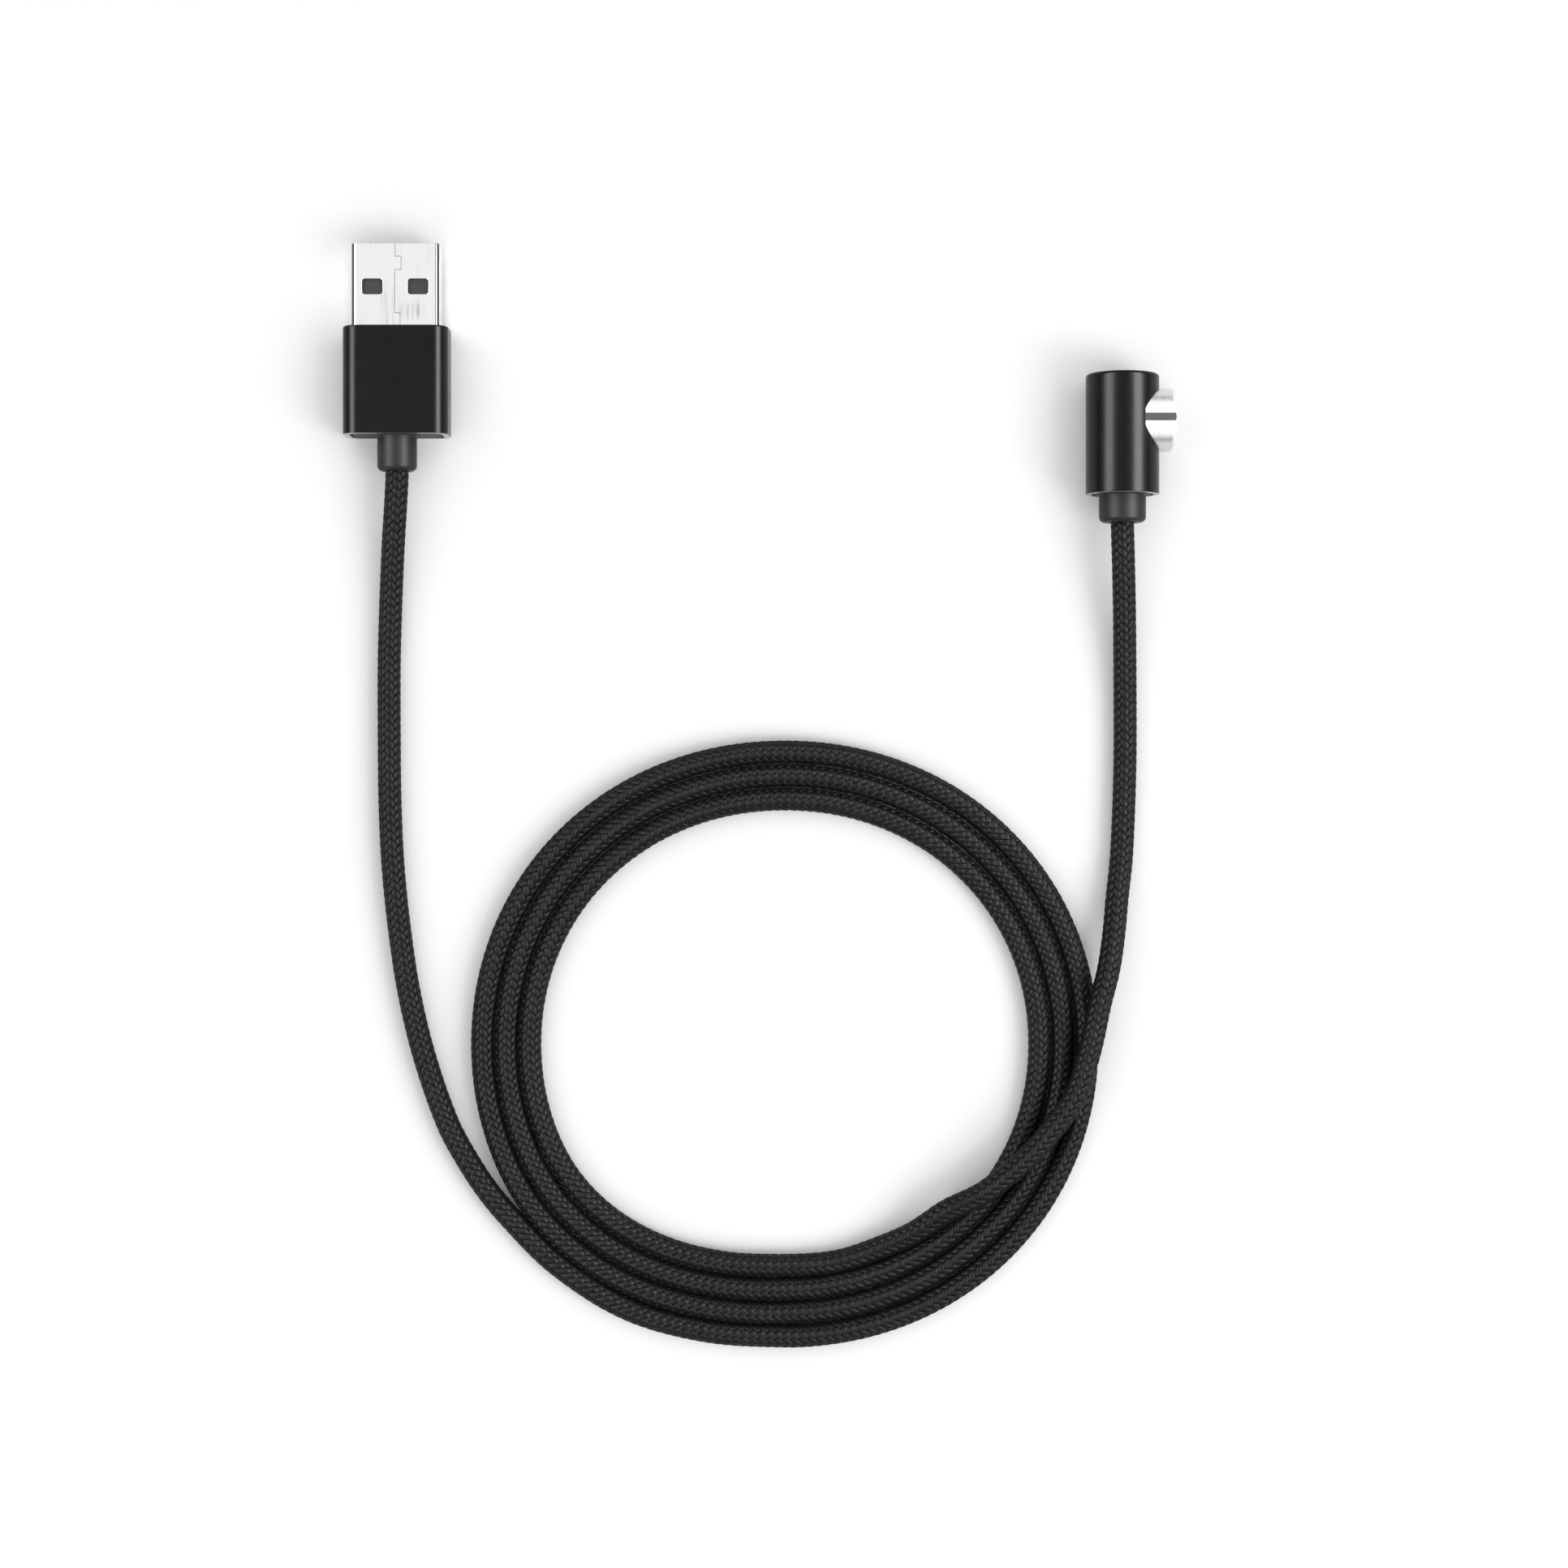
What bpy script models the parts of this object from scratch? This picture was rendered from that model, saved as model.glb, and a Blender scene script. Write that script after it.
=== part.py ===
"""Charging cable: a USB-A plug, a coiled braided cord and a right-angle magnetic head, lying flat on a table.

+Z is up and the table is at z = 0. The plug and the head both point away from the coil, along +Y, and the
origin is the bottom centre of the box around the two of them.
"""

import math

import bmesh
import bpy
from mathutils import Vector

MM = 0.001

# Where the two connectors stand
PLUG_X = -49.45 * MM
PLUG_Z = 3.8 * MM
HEAD_X = 49.78 * MM
HEAD_Z = 5.0 * MM
COLLAR_Y = -5.0 * MM

# USB-A plug: Y positions along its axis, the tip at +Y
SHELL_WIDTH = 12.0 * MM
SHELL_HEIGHT = 4.5 * MM
SHELL_WALL = 0.3 * MM
SHELL_CORNER = 0.7 * MM
SHELL_TIP_Y = 19.0 * MM
SHELL_BACK_Y = 0.3 * MM
WINDOW_WIDTH = 2.85 * MM
WINDOW_LENGTH = 2.15 * MM
WINDOW_OFFSET_X = 3.12 * MM
WINDOW_FROM_TIP = 5.9 * MM
INSULATOR_BACK_Y = 1.2 * MM
INSULATOR_BLOCK_Y = 8.6 * MM
INSULATOR_TIP_Y = 18.3 * MM
INSULATOR_WIDTH = 11.1 * MM
INSULATOR_HALF_HEIGHT = 1.8 * MM
TONGUE_FACE_Z = 0.05 * MM
CONTACT_WIDTH = 1.0 * MM
CONTACT_THICKNESS = 0.25 * MM
CONTACT_TOP_Z = -0.03 * MM
CONTACT_TAIL_Y = -0.9 * MM
CONTACT_GAP = 0.08 * MM
CONTACTS = (
    ("usb_contact_power", -3.5 * MM, 17.6 * MM),
    ("usb_contact_data_minus", -1.0 * MM, 16.6 * MM),
    ("usb_contact_data_plus", 1.0 * MM, 16.6 * MM),
    ("usb_contact_ground", 3.5 * MM, 17.6 * MM),
)
HOUSING_WIDTH = 14.4 * MM
HOUSING_HEIGHT = 7.6 * MM
HOUSING_CORNER = 2.2 * MM
HOUSING_EDGE = 0.3 * MM
HOUSING_WALL = 0.9 * MM
HOUSING_FRONT_Y = 7.7 * MM
HOUSING_BACK_Y = -7.05 * MM
HOUSING_FRONT_WALL = 1.2 * MM
SHELL_CLEARANCE = 0.25 * MM

# Strain reliefs: one moulding each, an insert inside the connector and a boot behind it
INSERT_CLEARANCE = 0.25 * MM
PLUG_INSERT_FRONT_Y = -3.2 * MM
PLUG_BOOT_RADIUS = 2.7 * MM
PLUG_BOOT_END_Y = -11.9 * MM
HEAD_INSERT_RADIUS = 3.95 * MM
HEAD_INSERT_FRONT_Y = -11.6 * MM
HEAD_BOOT_RADIUS = 3.2 * MM
HEAD_BOOT_END_Y = -19.0 * MM
BOOT_END_ROUND = 0.75 * MM
BOOT_OVERLAP = 0.5 * MM
CORD_BORE_RADIUS = 1.72 * MM
CRIMP_POCKET_RADIUS = 2.35 * MM
CRIMP_POCKET_DEPTH = 2.6 * MM
CRIMP_OUTER_RADIUS = 2.2 * MM
CRIMP_INNER_RADIUS = 1.75 * MM
CRIMP_LENGTH = 2.2 * MM
CRIMP_INSET = 0.2 * MM
CORD_END_BEYOND_INSERT = 0.3 * MM
WIRE_RADIUS = 0.45 * MM
WIRE_GAP = 0.15 * MM
WIRE_SPREAD = 0.6 * MM
WIRE_STRAIGHT = 0.3 * MM

# Magnetic head: a barrel along Y and a collar out of its +X side; X positions from the barrel's axis
BARREL_RADIUS = 5.0 * MM
BARREL_WALL = 0.8 * MM
BARREL_TOP_Y = 1.6 * MM
BARREL_BOTTOM_Y = -15.2 * MM
BARREL_CAP = 1.0 * MM
BARREL_EDGE = 0.4 * MM
COLLAR_RADIUS = 4.3 * MM
COLLAR_INNER_RADIUS = 3.75 * MM
COLLAR_BACK_X = 0.9 * MM
COLLAR_FACE_X = 6.87 * MM
COLLAR_RIM = 0.45 * MM
COLLAR_CLEARANCE = 0.1 * MM
KEY_WIDTH = 1.05 * MM
KEY_BACK_X = 2.95 * MM
KEY_BOTTOM = 3.85 * MM
KEY_TOP = 4.35 * MM
KEY_CLEARANCE = 0.05 * MM
FACE_PARTS_RADIUS = 3.6 * MM
DISC_BACK_X = 5.8 * MM
DISC_FRONT_X = 6.4 * MM
DISC_BORE_RADIUS = 0.8 * MM
MAGNET_BACK_X = 3.1 * MM
MAGNET_FRONT_X = 5.7 * MM
MAGNET_BORE_RADIUS = 1.9 * MM
SLEEVE_BACK_X = 2.4 * MM
SLEEVE_FRONT_X = 5.7 * MM
SLEEVE_RADIUS = 1.75 * MM
SLEEVE_BORE_RADIUS = 1.35 * MM
SLEEVE_FLOOR = 0.4 * MM
PIN_TIP_X = 6.75 * MM
PIN_TIP_RADIUS = 0.7 * MM
PIN_NOSE = 0.25 * MM
PIN_FLANGE_X = (5.2 * MM, 5.75 * MM)
PIN_FLANGE_RADIUS = 1.2 * MM
PIN_TAIL_X = 3.7 * MM
PIN_TAIL_RADIUS = 0.5 * MM
SPRING_X = (3.1 * MM, 4.95 * MM)
SPRING_RADIUS = 0.85 * MM
SPRING_WIRE_RADIUS = 0.12 * MM
SPRING_TURNS = 5
BOARD_X = (1.5 * MM, 2.1 * MM)
BOARD_RADIUS = 3.45 * MM
CARRIER_RADIUS = 3.95 * MM
CARRIER_Y = (-9.4 * MM, 0.3 * MM)
CARRIER_FACE_X = 0.6 * MM
CARRIER_SLOT_HALF_WIDTH = 1.4 * MM
CARRIER_SLOT_X = -0.9 * MM
CARRIER_SLOT_TOP_Y = -5.0 * MM

# Cord
CORD_RADIUS = 1.6 * MM
CORD_GAP = 0.3 * MM
CORD_Z = 1.65 * MM
COIL_CENTRE = (3.66 * MM, -90.5 * MM)
COIL_HALF_WIDTH = 41.6 * MM
COIL_HALF_HEIGHT = 40.2 * MM
COIL_PITCH = 3.25 * MM
COIL_SQUARENESS = 2.05
COIL_STRANDS = 3
COIL_STEPS = 72
SIDE_STEPS = 6
TUBE_POINT_SPACING = 7.0 * MM
USB_LEAD_ROUTE = (
    (-49.45, -12.2, 3.8),
    (-49.7, -16.8, 3.6),
    (-50.05, -21.3, 3.0),
    (-50.35, -26.0, 2.3),
    (-50.6, -31.0, 1.8),
    (-50.8, -38.0, 1.65),
    (-50.8, -48.0, 1.65),
    (-50.7, -57.0, 1.65),
    (-50.3, -65.7, 1.65),
    (-49.4, -74.6, 1.65),
    (-48.05, -83.5, 1.65),
    (-45.9, -92.4, 1.65),
    (-42.8, -101.3, 1.65),
    (-40.5, -105.7, 1.65),
    (-37.6, -110.2, 1.65),
    (-34.6, -113.9, 1.65),
)
HEAD_LEAD_ROUTE = (
    (6.4, -120.93, 1.65),
    (11.5, -120.3, 1.65),
    (16.5, -118.6, 1.95),
    (21.4, -116.3, 2.95),
    (25.9, -113.1, 4.2),
    (30.3, -110.9, 4.9),
    (33.5, -108.6, 5.0),
    (36.75, -105.8, 5.0),
    (39.9, -102.3, 5.0),
    (43.1, -97.5, 5.0),
    (45.0, -91.1, 5.0),
    (46.3, -84.7, 4.9),
    (47.75, -80.0, 4.2),
    (48.6, -75.2, 3.2),
    (49.35, -70.2, 2.3),
    (49.95, -65.2, 1.75),
    (50.3, -58.5, 1.65),
    (50.5, -51.0, 1.65),
    (50.5, -44.0, 1.75),
    (50.4, -37.5, 2.35),
    (50.2, -30.5, 3.6),
    (49.95, -24.5, 4.7),
    (49.78, -19.3, 5.0),
)

ROUND_STEPS = 32
SMOOTH_ANGLE = math.radians(40)


def make_material(name, colour, roughness, metallic=0.0):
    """A plain surface of one colour."""
    made = bpy.data.materials.new(name)
    made.use_nodes = True
    surface = made.node_tree.nodes["Principled BSDF"]
    surface.inputs["Base Color"].default_value = (*colour, 1.0)
    surface.inputs["Roughness"].default_value = roughness
    surface.inputs["Metallic"].default_value = metallic
    return made


def add_empty(name, location):
    empty = bpy.data.objects.new(name, None)
    empty.location = location
    bpy.context.collection.objects.link(empty)
    return empty


def add_object(name, mesh, made_of, parent, location=(0, 0, 0)):
    """One named sub-part, at a location in its parent's frame."""
    mesh.shade_smooth()
    mesh.set_sharp_from_angle(angle=SMOOTH_ANGLE)
    mesh.materials.append(made_of)
    added = bpy.data.objects.new(name, mesh)
    added.parent = parent
    added.location = location
    bpy.context.collection.objects.link(added)
    return added


def boolean(target, tool, operation):
    """Cuts the tool out of the target or joins it on, and hides the tool."""
    tool.hide_render = True
    tool.display_type = "WIRE"
    step = target.modifiers.new(tool.name, "BOOLEAN")
    step.operation = operation
    step.object = tool


def finish_mesh(name, mesh_in_work):
    bmesh.ops.recalc_face_normals(mesh_in_work, faces=mesh_in_work.faces)
    mesh = bpy.data.meshes.new(name)
    mesh_in_work.to_mesh(mesh)
    mesh_in_work.free()
    return mesh


def rounded_outline(width, height, corner, steps=5):
    """A rectangle with round corners in the XZ plane, as (x, z) points."""
    points = []
    for sign_x, sign_z, start in ((1, 1, 0), (-1, 1, 90), (-1, -1, 180), (1, -1, 270)):
        centre_x = sign_x * (width / 2 - corner)
        centre_z = sign_z * (height / 2 - corner)
        for step in range(steps + 1):
            angle = math.radians(start + 90 * step / steps)
            points.append((centre_x + corner * math.cos(angle), centre_z + corner * math.sin(angle)))
    return points


def prism_mesh(name, sections):
    """A solid along Y through (y, outline) sections with equal point counts."""
    work = bmesh.new()
    rings = [[work.verts.new((x, y, z)) for x, z in outline] for y, outline in sections]
    count = len(rings[0])
    for lower, upper in zip(rings, rings[1:]):
        for i in range(count):
            j = (i + 1) % count
            work.faces.new((lower[i], lower[j], upper[j], upper[i]))
    work.faces.new(rings[0])
    work.faces.new(rings[-1])
    return finish_mesh(name, work)


def box_mesh(name, low, high):
    """A box between two corners."""
    outline = [(low[0], low[2]), (high[0], low[2]), (high[0], high[2]), (low[0], high[2])]
    return prism_mesh(name, [(low[1], outline), (high[1], outline)])


def turned_mesh(name, profile, along, steps=ROUND_STEPS):
    """A turned solid: (radius, position) points from one end of the axis to the other, or a closed loop."""
    work = bmesh.new()
    closed = profile[0][0] > 0 and profile[-1][0] > 0
    rings = []
    for radius, position in profile:
        ring = []
        for step in range(steps if radius > 0 else 1):
            angle = 2 * math.pi * step / steps
            across = (radius * math.cos(angle), radius * math.sin(angle))
            spot = (across[0], position, across[1]) if along == "Y" else (position, across[0], across[1])
            ring.append(work.verts.new(spot))
        rings.append(ring)
    pairs = list(zip(rings, rings[1:]))
    if closed:
        pairs.append((rings[-1], rings[0]))
    for first, second in pairs:
        for i in range(steps):
            corners = [first[i % len(first)], first[(i + 1) % len(first)]]
            corners += [second[(i + 1) % len(second)], second[i % len(second)]]
            kept = list(dict.fromkeys(corners))
            if len(kept) > 2:
                work.faces.new(kept)
    return finish_mesh(name, work)


def quarter_round(radius, position, round_radius, direction, steps=4):
    """Profile points from a flat end face out to the side: (radius, position) along a round edge."""
    points = []
    for step in range(steps + 1):
        angle = math.radians(90 * step / steps)
        at_radius = radius - round_radius + round_radius * math.sin(angle)
        at_position = position - direction * round_radius * (1 - math.cos(angle))
        points.append((at_radius, at_position))
    return points


def wire_object(name, points, radius, made_of, parent, sides=2):
    """A round wire or tube with closed ends along a list of points."""
    curve = bpy.data.curves.new(name, "CURVE")
    curve.dimensions = "3D"
    curve.bevel_depth = radius
    curve.bevel_resolution = sides
    curve.use_fill_caps = True
    spline = curve.splines.new("POLY")
    spline.points.add(len(points) - 1)
    for point, place in zip(spline.points, points):
        point.co = (*place, 1.0)
    curve.materials.append(made_of)
    added = bpy.data.objects.new(name, curve)
    added.parent = parent
    bpy.context.collection.objects.link(added)
    return added


def smooth_points(route, spacing):
    """Evenly spaced points on the Catmull-Rom curve through the route."""
    knots = [Vector(point) for point in route]
    knots = [2 * knots[0] - knots[1], *knots, 2 * knots[-1] - knots[-2]]
    fine = []
    per_span = 12
    for before, start, end, after in zip(knots, knots[1:], knots[2:], knots[3:]):
        for step in range(per_span):
            t = step / per_span
            tangent_in = (end - before) / 2
            tangent_out = (after - start) / 2
            blend = start * (2 * t**3 - 3 * t**2 + 1) + end * (3 * t**2 - 2 * t**3)
            fine.append(blend + tangent_in * (t**3 - 2 * t**2 + t) + tangent_out * (t**3 - t**2))
    fine.append(knots[-2])
    length = sum((b - a).length for a, b in zip(fine, fine[1:]))
    count = max(2, round(length / spacing))
    wanted = [length * i / count for i in range(1, count)]
    picked = [fine[0]]
    travelled = 0.0
    for a, b in zip(fine, fine[1:]):
        stride = (b - a).length
        while wanted and travelled + stride >= wanted[0]:
            picked.append(a.lerp(b, (wanted.pop(0) - travelled) / stride))
        travelled += stride
    return [*picked, fine[-1]]


def build_usb_shell(plug, steel):
    """Folded steel shell: a flat tube with two windows in each wide face."""
    outline = rounded_outline(SHELL_WIDTH, SHELL_HEIGHT, SHELL_CORNER)
    mesh = prism_mesh("usb_shell", [(SHELL_BACK_Y, outline), (SHELL_TIP_Y, outline)])
    shell = add_object("usb_shell", mesh, steel, plug)
    bore = rounded_outline(SHELL_WIDTH - 2 * SHELL_WALL, SHELL_HEIGHT - 2 * SHELL_WALL, SHELL_CORNER - SHELL_WALL)
    cavity = prism_mesh("shell_cavity", [(SHELL_BACK_Y - MM, bore), (SHELL_TIP_Y + MM, bore)])
    boolean(shell, add_object("shell_cavity", cavity, steel, plug), "DIFFERENCE")
    window_y = SHELL_TIP_Y - WINDOW_FROM_TIP
    for side in (-1, 1):
        low = (side * WINDOW_OFFSET_X - WINDOW_WIDTH / 2, window_y - WINDOW_LENGTH / 2, -SHELL_HEIGHT)
        high = (side * WINDOW_OFFSET_X + WINDOW_WIDTH / 2, window_y + WINDOW_LENGTH / 2, SHELL_HEIGHT)
        window = box_mesh("shell_window", low, high)
        boolean(shell, add_object("shell_window", window, steel, plug), "DIFFERENCE")


def build_usb_insulator(plug, plastic, plating):
    """Plastic tongue with its rear block, and the four contacts that pass through the block."""
    half = INSULATOR_WIDTH / 2
    low = (-half, INSULATOR_BACK_Y, -INSULATOR_HALF_HEIGHT)
    block = box_mesh("usb_insulator", low, (half, INSULATOR_TIP_Y, INSULATOR_HALF_HEIGHT))
    insulator = add_object("usb_insulator", block, plastic, plug)
    low = (-SHELL_WIDTH, INSULATOR_BLOCK_Y, -SHELL_HEIGHT)
    mouth = box_mesh("plug_mouth", low, (SHELL_WIDTH, SHELL_TIP_Y, TONGUE_FACE_Z))
    boolean(insulator, add_object("plug_mouth", mouth, plastic, plug), "DIFFERENCE")
    contact_bottom = CONTACT_TOP_Z - CONTACT_THICKNESS
    for name, x, tip_y in CONTACTS:
        low = (x - CONTACT_WIDTH / 2 - CONTACT_GAP, 0, contact_bottom - CONTACT_GAP)
        high = (x + CONTACT_WIDTH / 2 + CONTACT_GAP, INSULATOR_TIP_Y - CONTACT_GAP, TONGUE_FACE_Z)
        channel = box_mesh("contact_channel", low, high)
        boolean(insulator, add_object("contact_channel", channel, plastic, plug), "DIFFERENCE")
        low = (x - CONTACT_WIDTH / 2, CONTACT_TAIL_Y, contact_bottom)
        contact = box_mesh(name, low, (x + CONTACT_WIDTH / 2, tip_y, CONTACT_TOP_Z))
        add_object(name, contact, plating, plug)


def build_usb_housing(plug, anodised):
    """Aluminium sleeve with a round-cornered section and a narrower mouth around the shell."""
    full = rounded_outline(HOUSING_WIDTH, HOUSING_HEIGHT, HOUSING_CORNER)
    small_corner = HOUSING_CORNER - HOUSING_EDGE
    eased = rounded_outline(HOUSING_WIDTH - 2 * HOUSING_EDGE, HOUSING_HEIGHT - 2 * HOUSING_EDGE, small_corner)
    sections = [
        (HOUSING_BACK_Y, eased),
        (HOUSING_BACK_Y + HOUSING_EDGE, full),
        (HOUSING_FRONT_Y - HOUSING_EDGE, full),
        (HOUSING_FRONT_Y, eased),
    ]
    housing = add_object("usb_housing", prism_mesh("usb_housing", sections), anodised, plug)
    bore = housing_bore(0.0)
    cavity_front = HOUSING_FRONT_Y - HOUSING_FRONT_WALL
    cavity = prism_mesh("housing_cavity", [(HOUSING_BACK_Y - MM, bore), (cavity_front, bore)])
    boolean(housing, add_object("housing_cavity", cavity, anodised, plug), "DIFFERENCE")
    clearance = 2 * SHELL_CLEARANCE
    hole = rounded_outline(SHELL_WIDTH + clearance, SHELL_HEIGHT + clearance, SHELL_CORNER + SHELL_CLEARANCE)
    mouth = prism_mesh("housing_mouth", [(cavity_front - MM, hole), (HOUSING_FRONT_Y + MM, hole)])
    boolean(housing, add_object("housing_mouth", mouth, anodised, plug), "DIFFERENCE")


def housing_bore(clearance):
    """The housing's inner outline, taken in by a clearance."""
    inset = 2 * (HOUSING_WALL + clearance)
    return rounded_outline(HOUSING_WIDTH - inset, HOUSING_HEIGHT - inset, HOUSING_CORNER - HOUSING_WALL)


def boot_mesh(name, radius, front_y, end_y):
    """A round boot, from inside its insert to its rounded end."""
    profile = [(0, front_y), (radius, front_y)]
    profile += reversed(quarter_round(radius, end_y, BOOT_END_ROUND, -1))
    return turned_mesh(name, [*profile, (0, end_y)], "Y")


def bore_strain_relief(relief, insert_front_y, end_y, rubber, parent):
    """The cord's bore through a strain relief, wider at the front for the crimp sleeve."""
    pocket_y = insert_front_y - CRIMP_POCKET_DEPTH
    profile = [
        (0, end_y - MM),
        (CORD_BORE_RADIUS, end_y - MM),
        (CORD_BORE_RADIUS, pocket_y),
        (CRIMP_POCKET_RADIUS, pocket_y),
        (CRIMP_POCKET_RADIUS, insert_front_y + MM),
        (0, insert_front_y + MM),
    ]
    name = relief.name + "_bore"
    bore = add_object(name, turned_mesh(name, profile, "Y"), rubber, parent)
    boolean(relief, bore, "DIFFERENCE")


def build_cord_end(prefix, insert_front_y, end_y, parent, braid, brass):
    """The cord's end inside a connector, and the sleeve crimped on it."""
    front_y = insert_front_y + CORD_END_BEYOND_INSERT
    profile = [(0, end_y), (CORD_RADIUS, end_y), (CORD_RADIUS, front_y), (0, front_y)]
    name = prefix + "_cord_end"
    add_object(name, turned_mesh(name, profile, "Y"), braid, parent)
    crimp_front = insert_front_y - CRIMP_INSET
    crimp_back = crimp_front - CRIMP_LENGTH
    profile = [
        (CRIMP_INNER_RADIUS, crimp_back),
        (CRIMP_OUTER_RADIUS, crimp_back),
        (CRIMP_OUTER_RADIUS, crimp_front),
        (CRIMP_INNER_RADIUS, crimp_front),
    ]
    name = prefix + "_crimp_sleeve"
    add_object(name, turned_mesh(name, profile, "Y"), brass, parent)
    return front_y


def build_usb_rear(plug, rubber, braid, brass, wire_colours):
    """Strain relief, cord end, crimp sleeve and the two wires to the outer contacts."""
    insert = housing_bore(INSERT_CLEARANCE)
    sections = [(HOUSING_BACK_Y, insert), (PLUG_INSERT_FRONT_Y, insert)]
    relief = add_object("usb_strain_relief", prism_mesh("usb_strain_relief", sections), rubber, plug)
    boot = boot_mesh("plug_boot", PLUG_BOOT_RADIUS, HOUSING_BACK_Y + BOOT_OVERLAP, PLUG_BOOT_END_Y)
    boolean(relief, add_object("plug_boot", boot, rubber, plug), "UNION")
    bore_strain_relief(relief, PLUG_INSERT_FRONT_Y, PLUG_BOOT_END_Y, rubber, plug)
    cord_front = build_cord_end("usb", PLUG_INSERT_FRONT_Y, PLUG_BOOT_END_Y, plug, braid, brass)
    start_y = cord_front + WIRE_GAP
    end_y = CONTACT_TAIL_Y - WIRE_GAP
    contact_z = CONTACT_TOP_Z - CONTACT_THICKNESS / 2
    for name, side, made_of in (("usb_wire_positive", -1, wire_colours[0]), ("usb_wire_negative", 1, wire_colours[1])):
        tail_x = side * CONTACTS[-1][1]
        start_x = side * WIRE_SPREAD
        points = [
            (start_x, start_y, 0),
            (start_x, start_y + WIRE_STRAIGHT, 0),
            (tail_x, end_y - WIRE_STRAIGHT, contact_z),
            (tail_x, end_y, contact_z),
        ]
        wire_object(name, points, WIRE_RADIUS, made_of, plug)


def build_barrel(head, anodised):
    """Aluminium cup, open towards the cord, with a round hole in its side for the collar."""
    inner = BARREL_RADIUS - BARREL_WALL
    profile = [(0, BARREL_TOP_Y)]
    profile += quarter_round(BARREL_RADIUS, BARREL_TOP_Y, BARREL_EDGE, 1)
    profile += reversed(quarter_round(BARREL_RADIUS, BARREL_BOTTOM_Y, BARREL_EDGE / 2, -1))
    profile += [(inner, BARREL_BOTTOM_Y), (inner, BARREL_TOP_Y - BARREL_CAP), (0, BARREL_TOP_Y - BARREL_CAP)]
    mesh = turned_mesh("head_barrel", profile, "Y", 2 * ROUND_STEPS)
    barrel = add_object("head_barrel", mesh, anodised, head)
    hole_radius = COLLAR_RADIUS + COLLAR_CLEARANCE
    profile = [(0, 0), (hole_radius, 0), (hole_radius, COLLAR_FACE_X), (0, COLLAR_FACE_X)]
    hole = turned_mesh("barrel_side_hole", profile, "X", 2 * ROUND_STEPS)
    place = (0, COLLAR_Y, 0)
    boolean(barrel, add_object("barrel_side_hole", hole, anodised, head, place), "DIFFERENCE")


def build_collar(collar, steel, key_plastic):
    """Polished steel collar with a rounded rim, and the dark key set into a slot along its top."""
    profile = [(COLLAR_INNER_RADIUS, COLLAR_BACK_X), (COLLAR_RADIUS, COLLAR_BACK_X)]
    profile += reversed(quarter_round(COLLAR_RADIUS, COLLAR_FACE_X, COLLAR_RIM, 1))
    profile += [(COLLAR_INNER_RADIUS, COLLAR_FACE_X)]
    mesh = turned_mesh("head_collar", profile, "X", 2 * ROUND_STEPS)
    ring = add_object("head_collar", mesh, steel, collar)
    slot_half = KEY_WIDTH / 2 + KEY_CLEARANCE
    low = (KEY_BACK_X - KEY_CLEARANCE, -slot_half, COLLAR_INNER_RADIUS / 2)
    slot = box_mesh("key_slot", low, (COLLAR_FACE_X + MM, slot_half, COLLAR_RADIUS + MM))
    boolean(ring, add_object("key_slot", slot, steel, collar), "DIFFERENCE")
    low = (KEY_BACK_X, -KEY_WIDTH / 2, KEY_BOTTOM)
    key = box_mesh("head_locating_key", low, (COLLAR_FACE_X, KEY_WIDTH / 2, KEY_TOP))
    add_object("head_locating_key", key, key_plastic, collar)


def build_face_parts(collar, magnet_grey, plastic, plating, spring_steel):
    """Magnet, insulating disc, and the sprung centre pin in its sleeve."""
    ring = [
        (MAGNET_BORE_RADIUS, MAGNET_BACK_X),
        (FACE_PARTS_RADIUS, MAGNET_BACK_X),
        (FACE_PARTS_RADIUS, MAGNET_FRONT_X),
        (MAGNET_BORE_RADIUS, MAGNET_FRONT_X),
    ]
    add_object("head_magnet", turned_mesh("head_magnet", ring, "X"), magnet_grey, collar)
    ring = [
        (DISC_BORE_RADIUS, DISC_BACK_X),
        (FACE_PARTS_RADIUS, DISC_BACK_X),
        (FACE_PARTS_RADIUS, DISC_FRONT_X),
        (DISC_BORE_RADIUS, DISC_FRONT_X),
    ]
    add_object("head_contact_disc", turned_mesh("head_contact_disc", ring, "X"), plastic, collar)
    cup = [
        (0, SLEEVE_BACK_X),
        (SLEEVE_RADIUS, SLEEVE_BACK_X),
        (SLEEVE_RADIUS, SLEEVE_FRONT_X),
        (SLEEVE_BORE_RADIUS, SLEEVE_FRONT_X),
        (SLEEVE_BORE_RADIUS, SLEEVE_BACK_X + SLEEVE_FLOOR),
        (0, SLEEVE_BACK_X + SLEEVE_FLOOR),
    ]
    add_object("pin_sleeve", turned_mesh("pin_sleeve", cup, "X"), plating, collar)
    pin = [
        (0, PIN_TAIL_X),
        (PIN_TAIL_RADIUS, PIN_TAIL_X),
        (PIN_TAIL_RADIUS, PIN_FLANGE_X[0]),
        (PIN_FLANGE_RADIUS, PIN_FLANGE_X[0]),
        (PIN_FLANGE_RADIUS, PIN_FLANGE_X[1]),
        (PIN_TIP_RADIUS, PIN_FLANGE_X[1]),
    ]
    pin += reversed(quarter_round(PIN_TIP_RADIUS, PIN_TIP_X, PIN_NOSE, 1))
    add_object("contact_pin", turned_mesh("contact_pin", [*pin, (0, PIN_TIP_X)], "X"), plating, collar)
    steps = 12 * SPRING_TURNS
    coils = []
    for step in range(steps + 1):
        angle = 2 * math.pi * SPRING_TURNS * step / steps
        x = SPRING_X[0] + (SPRING_X[1] - SPRING_X[0]) * step / steps
        coils.append((x, SPRING_RADIUS * math.cos(angle), SPRING_RADIUS * math.sin(angle)))
    wire_object("pin_spring", coils, SPRING_WIRE_RADIUS, spring_steel, collar, sides=1)


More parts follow.
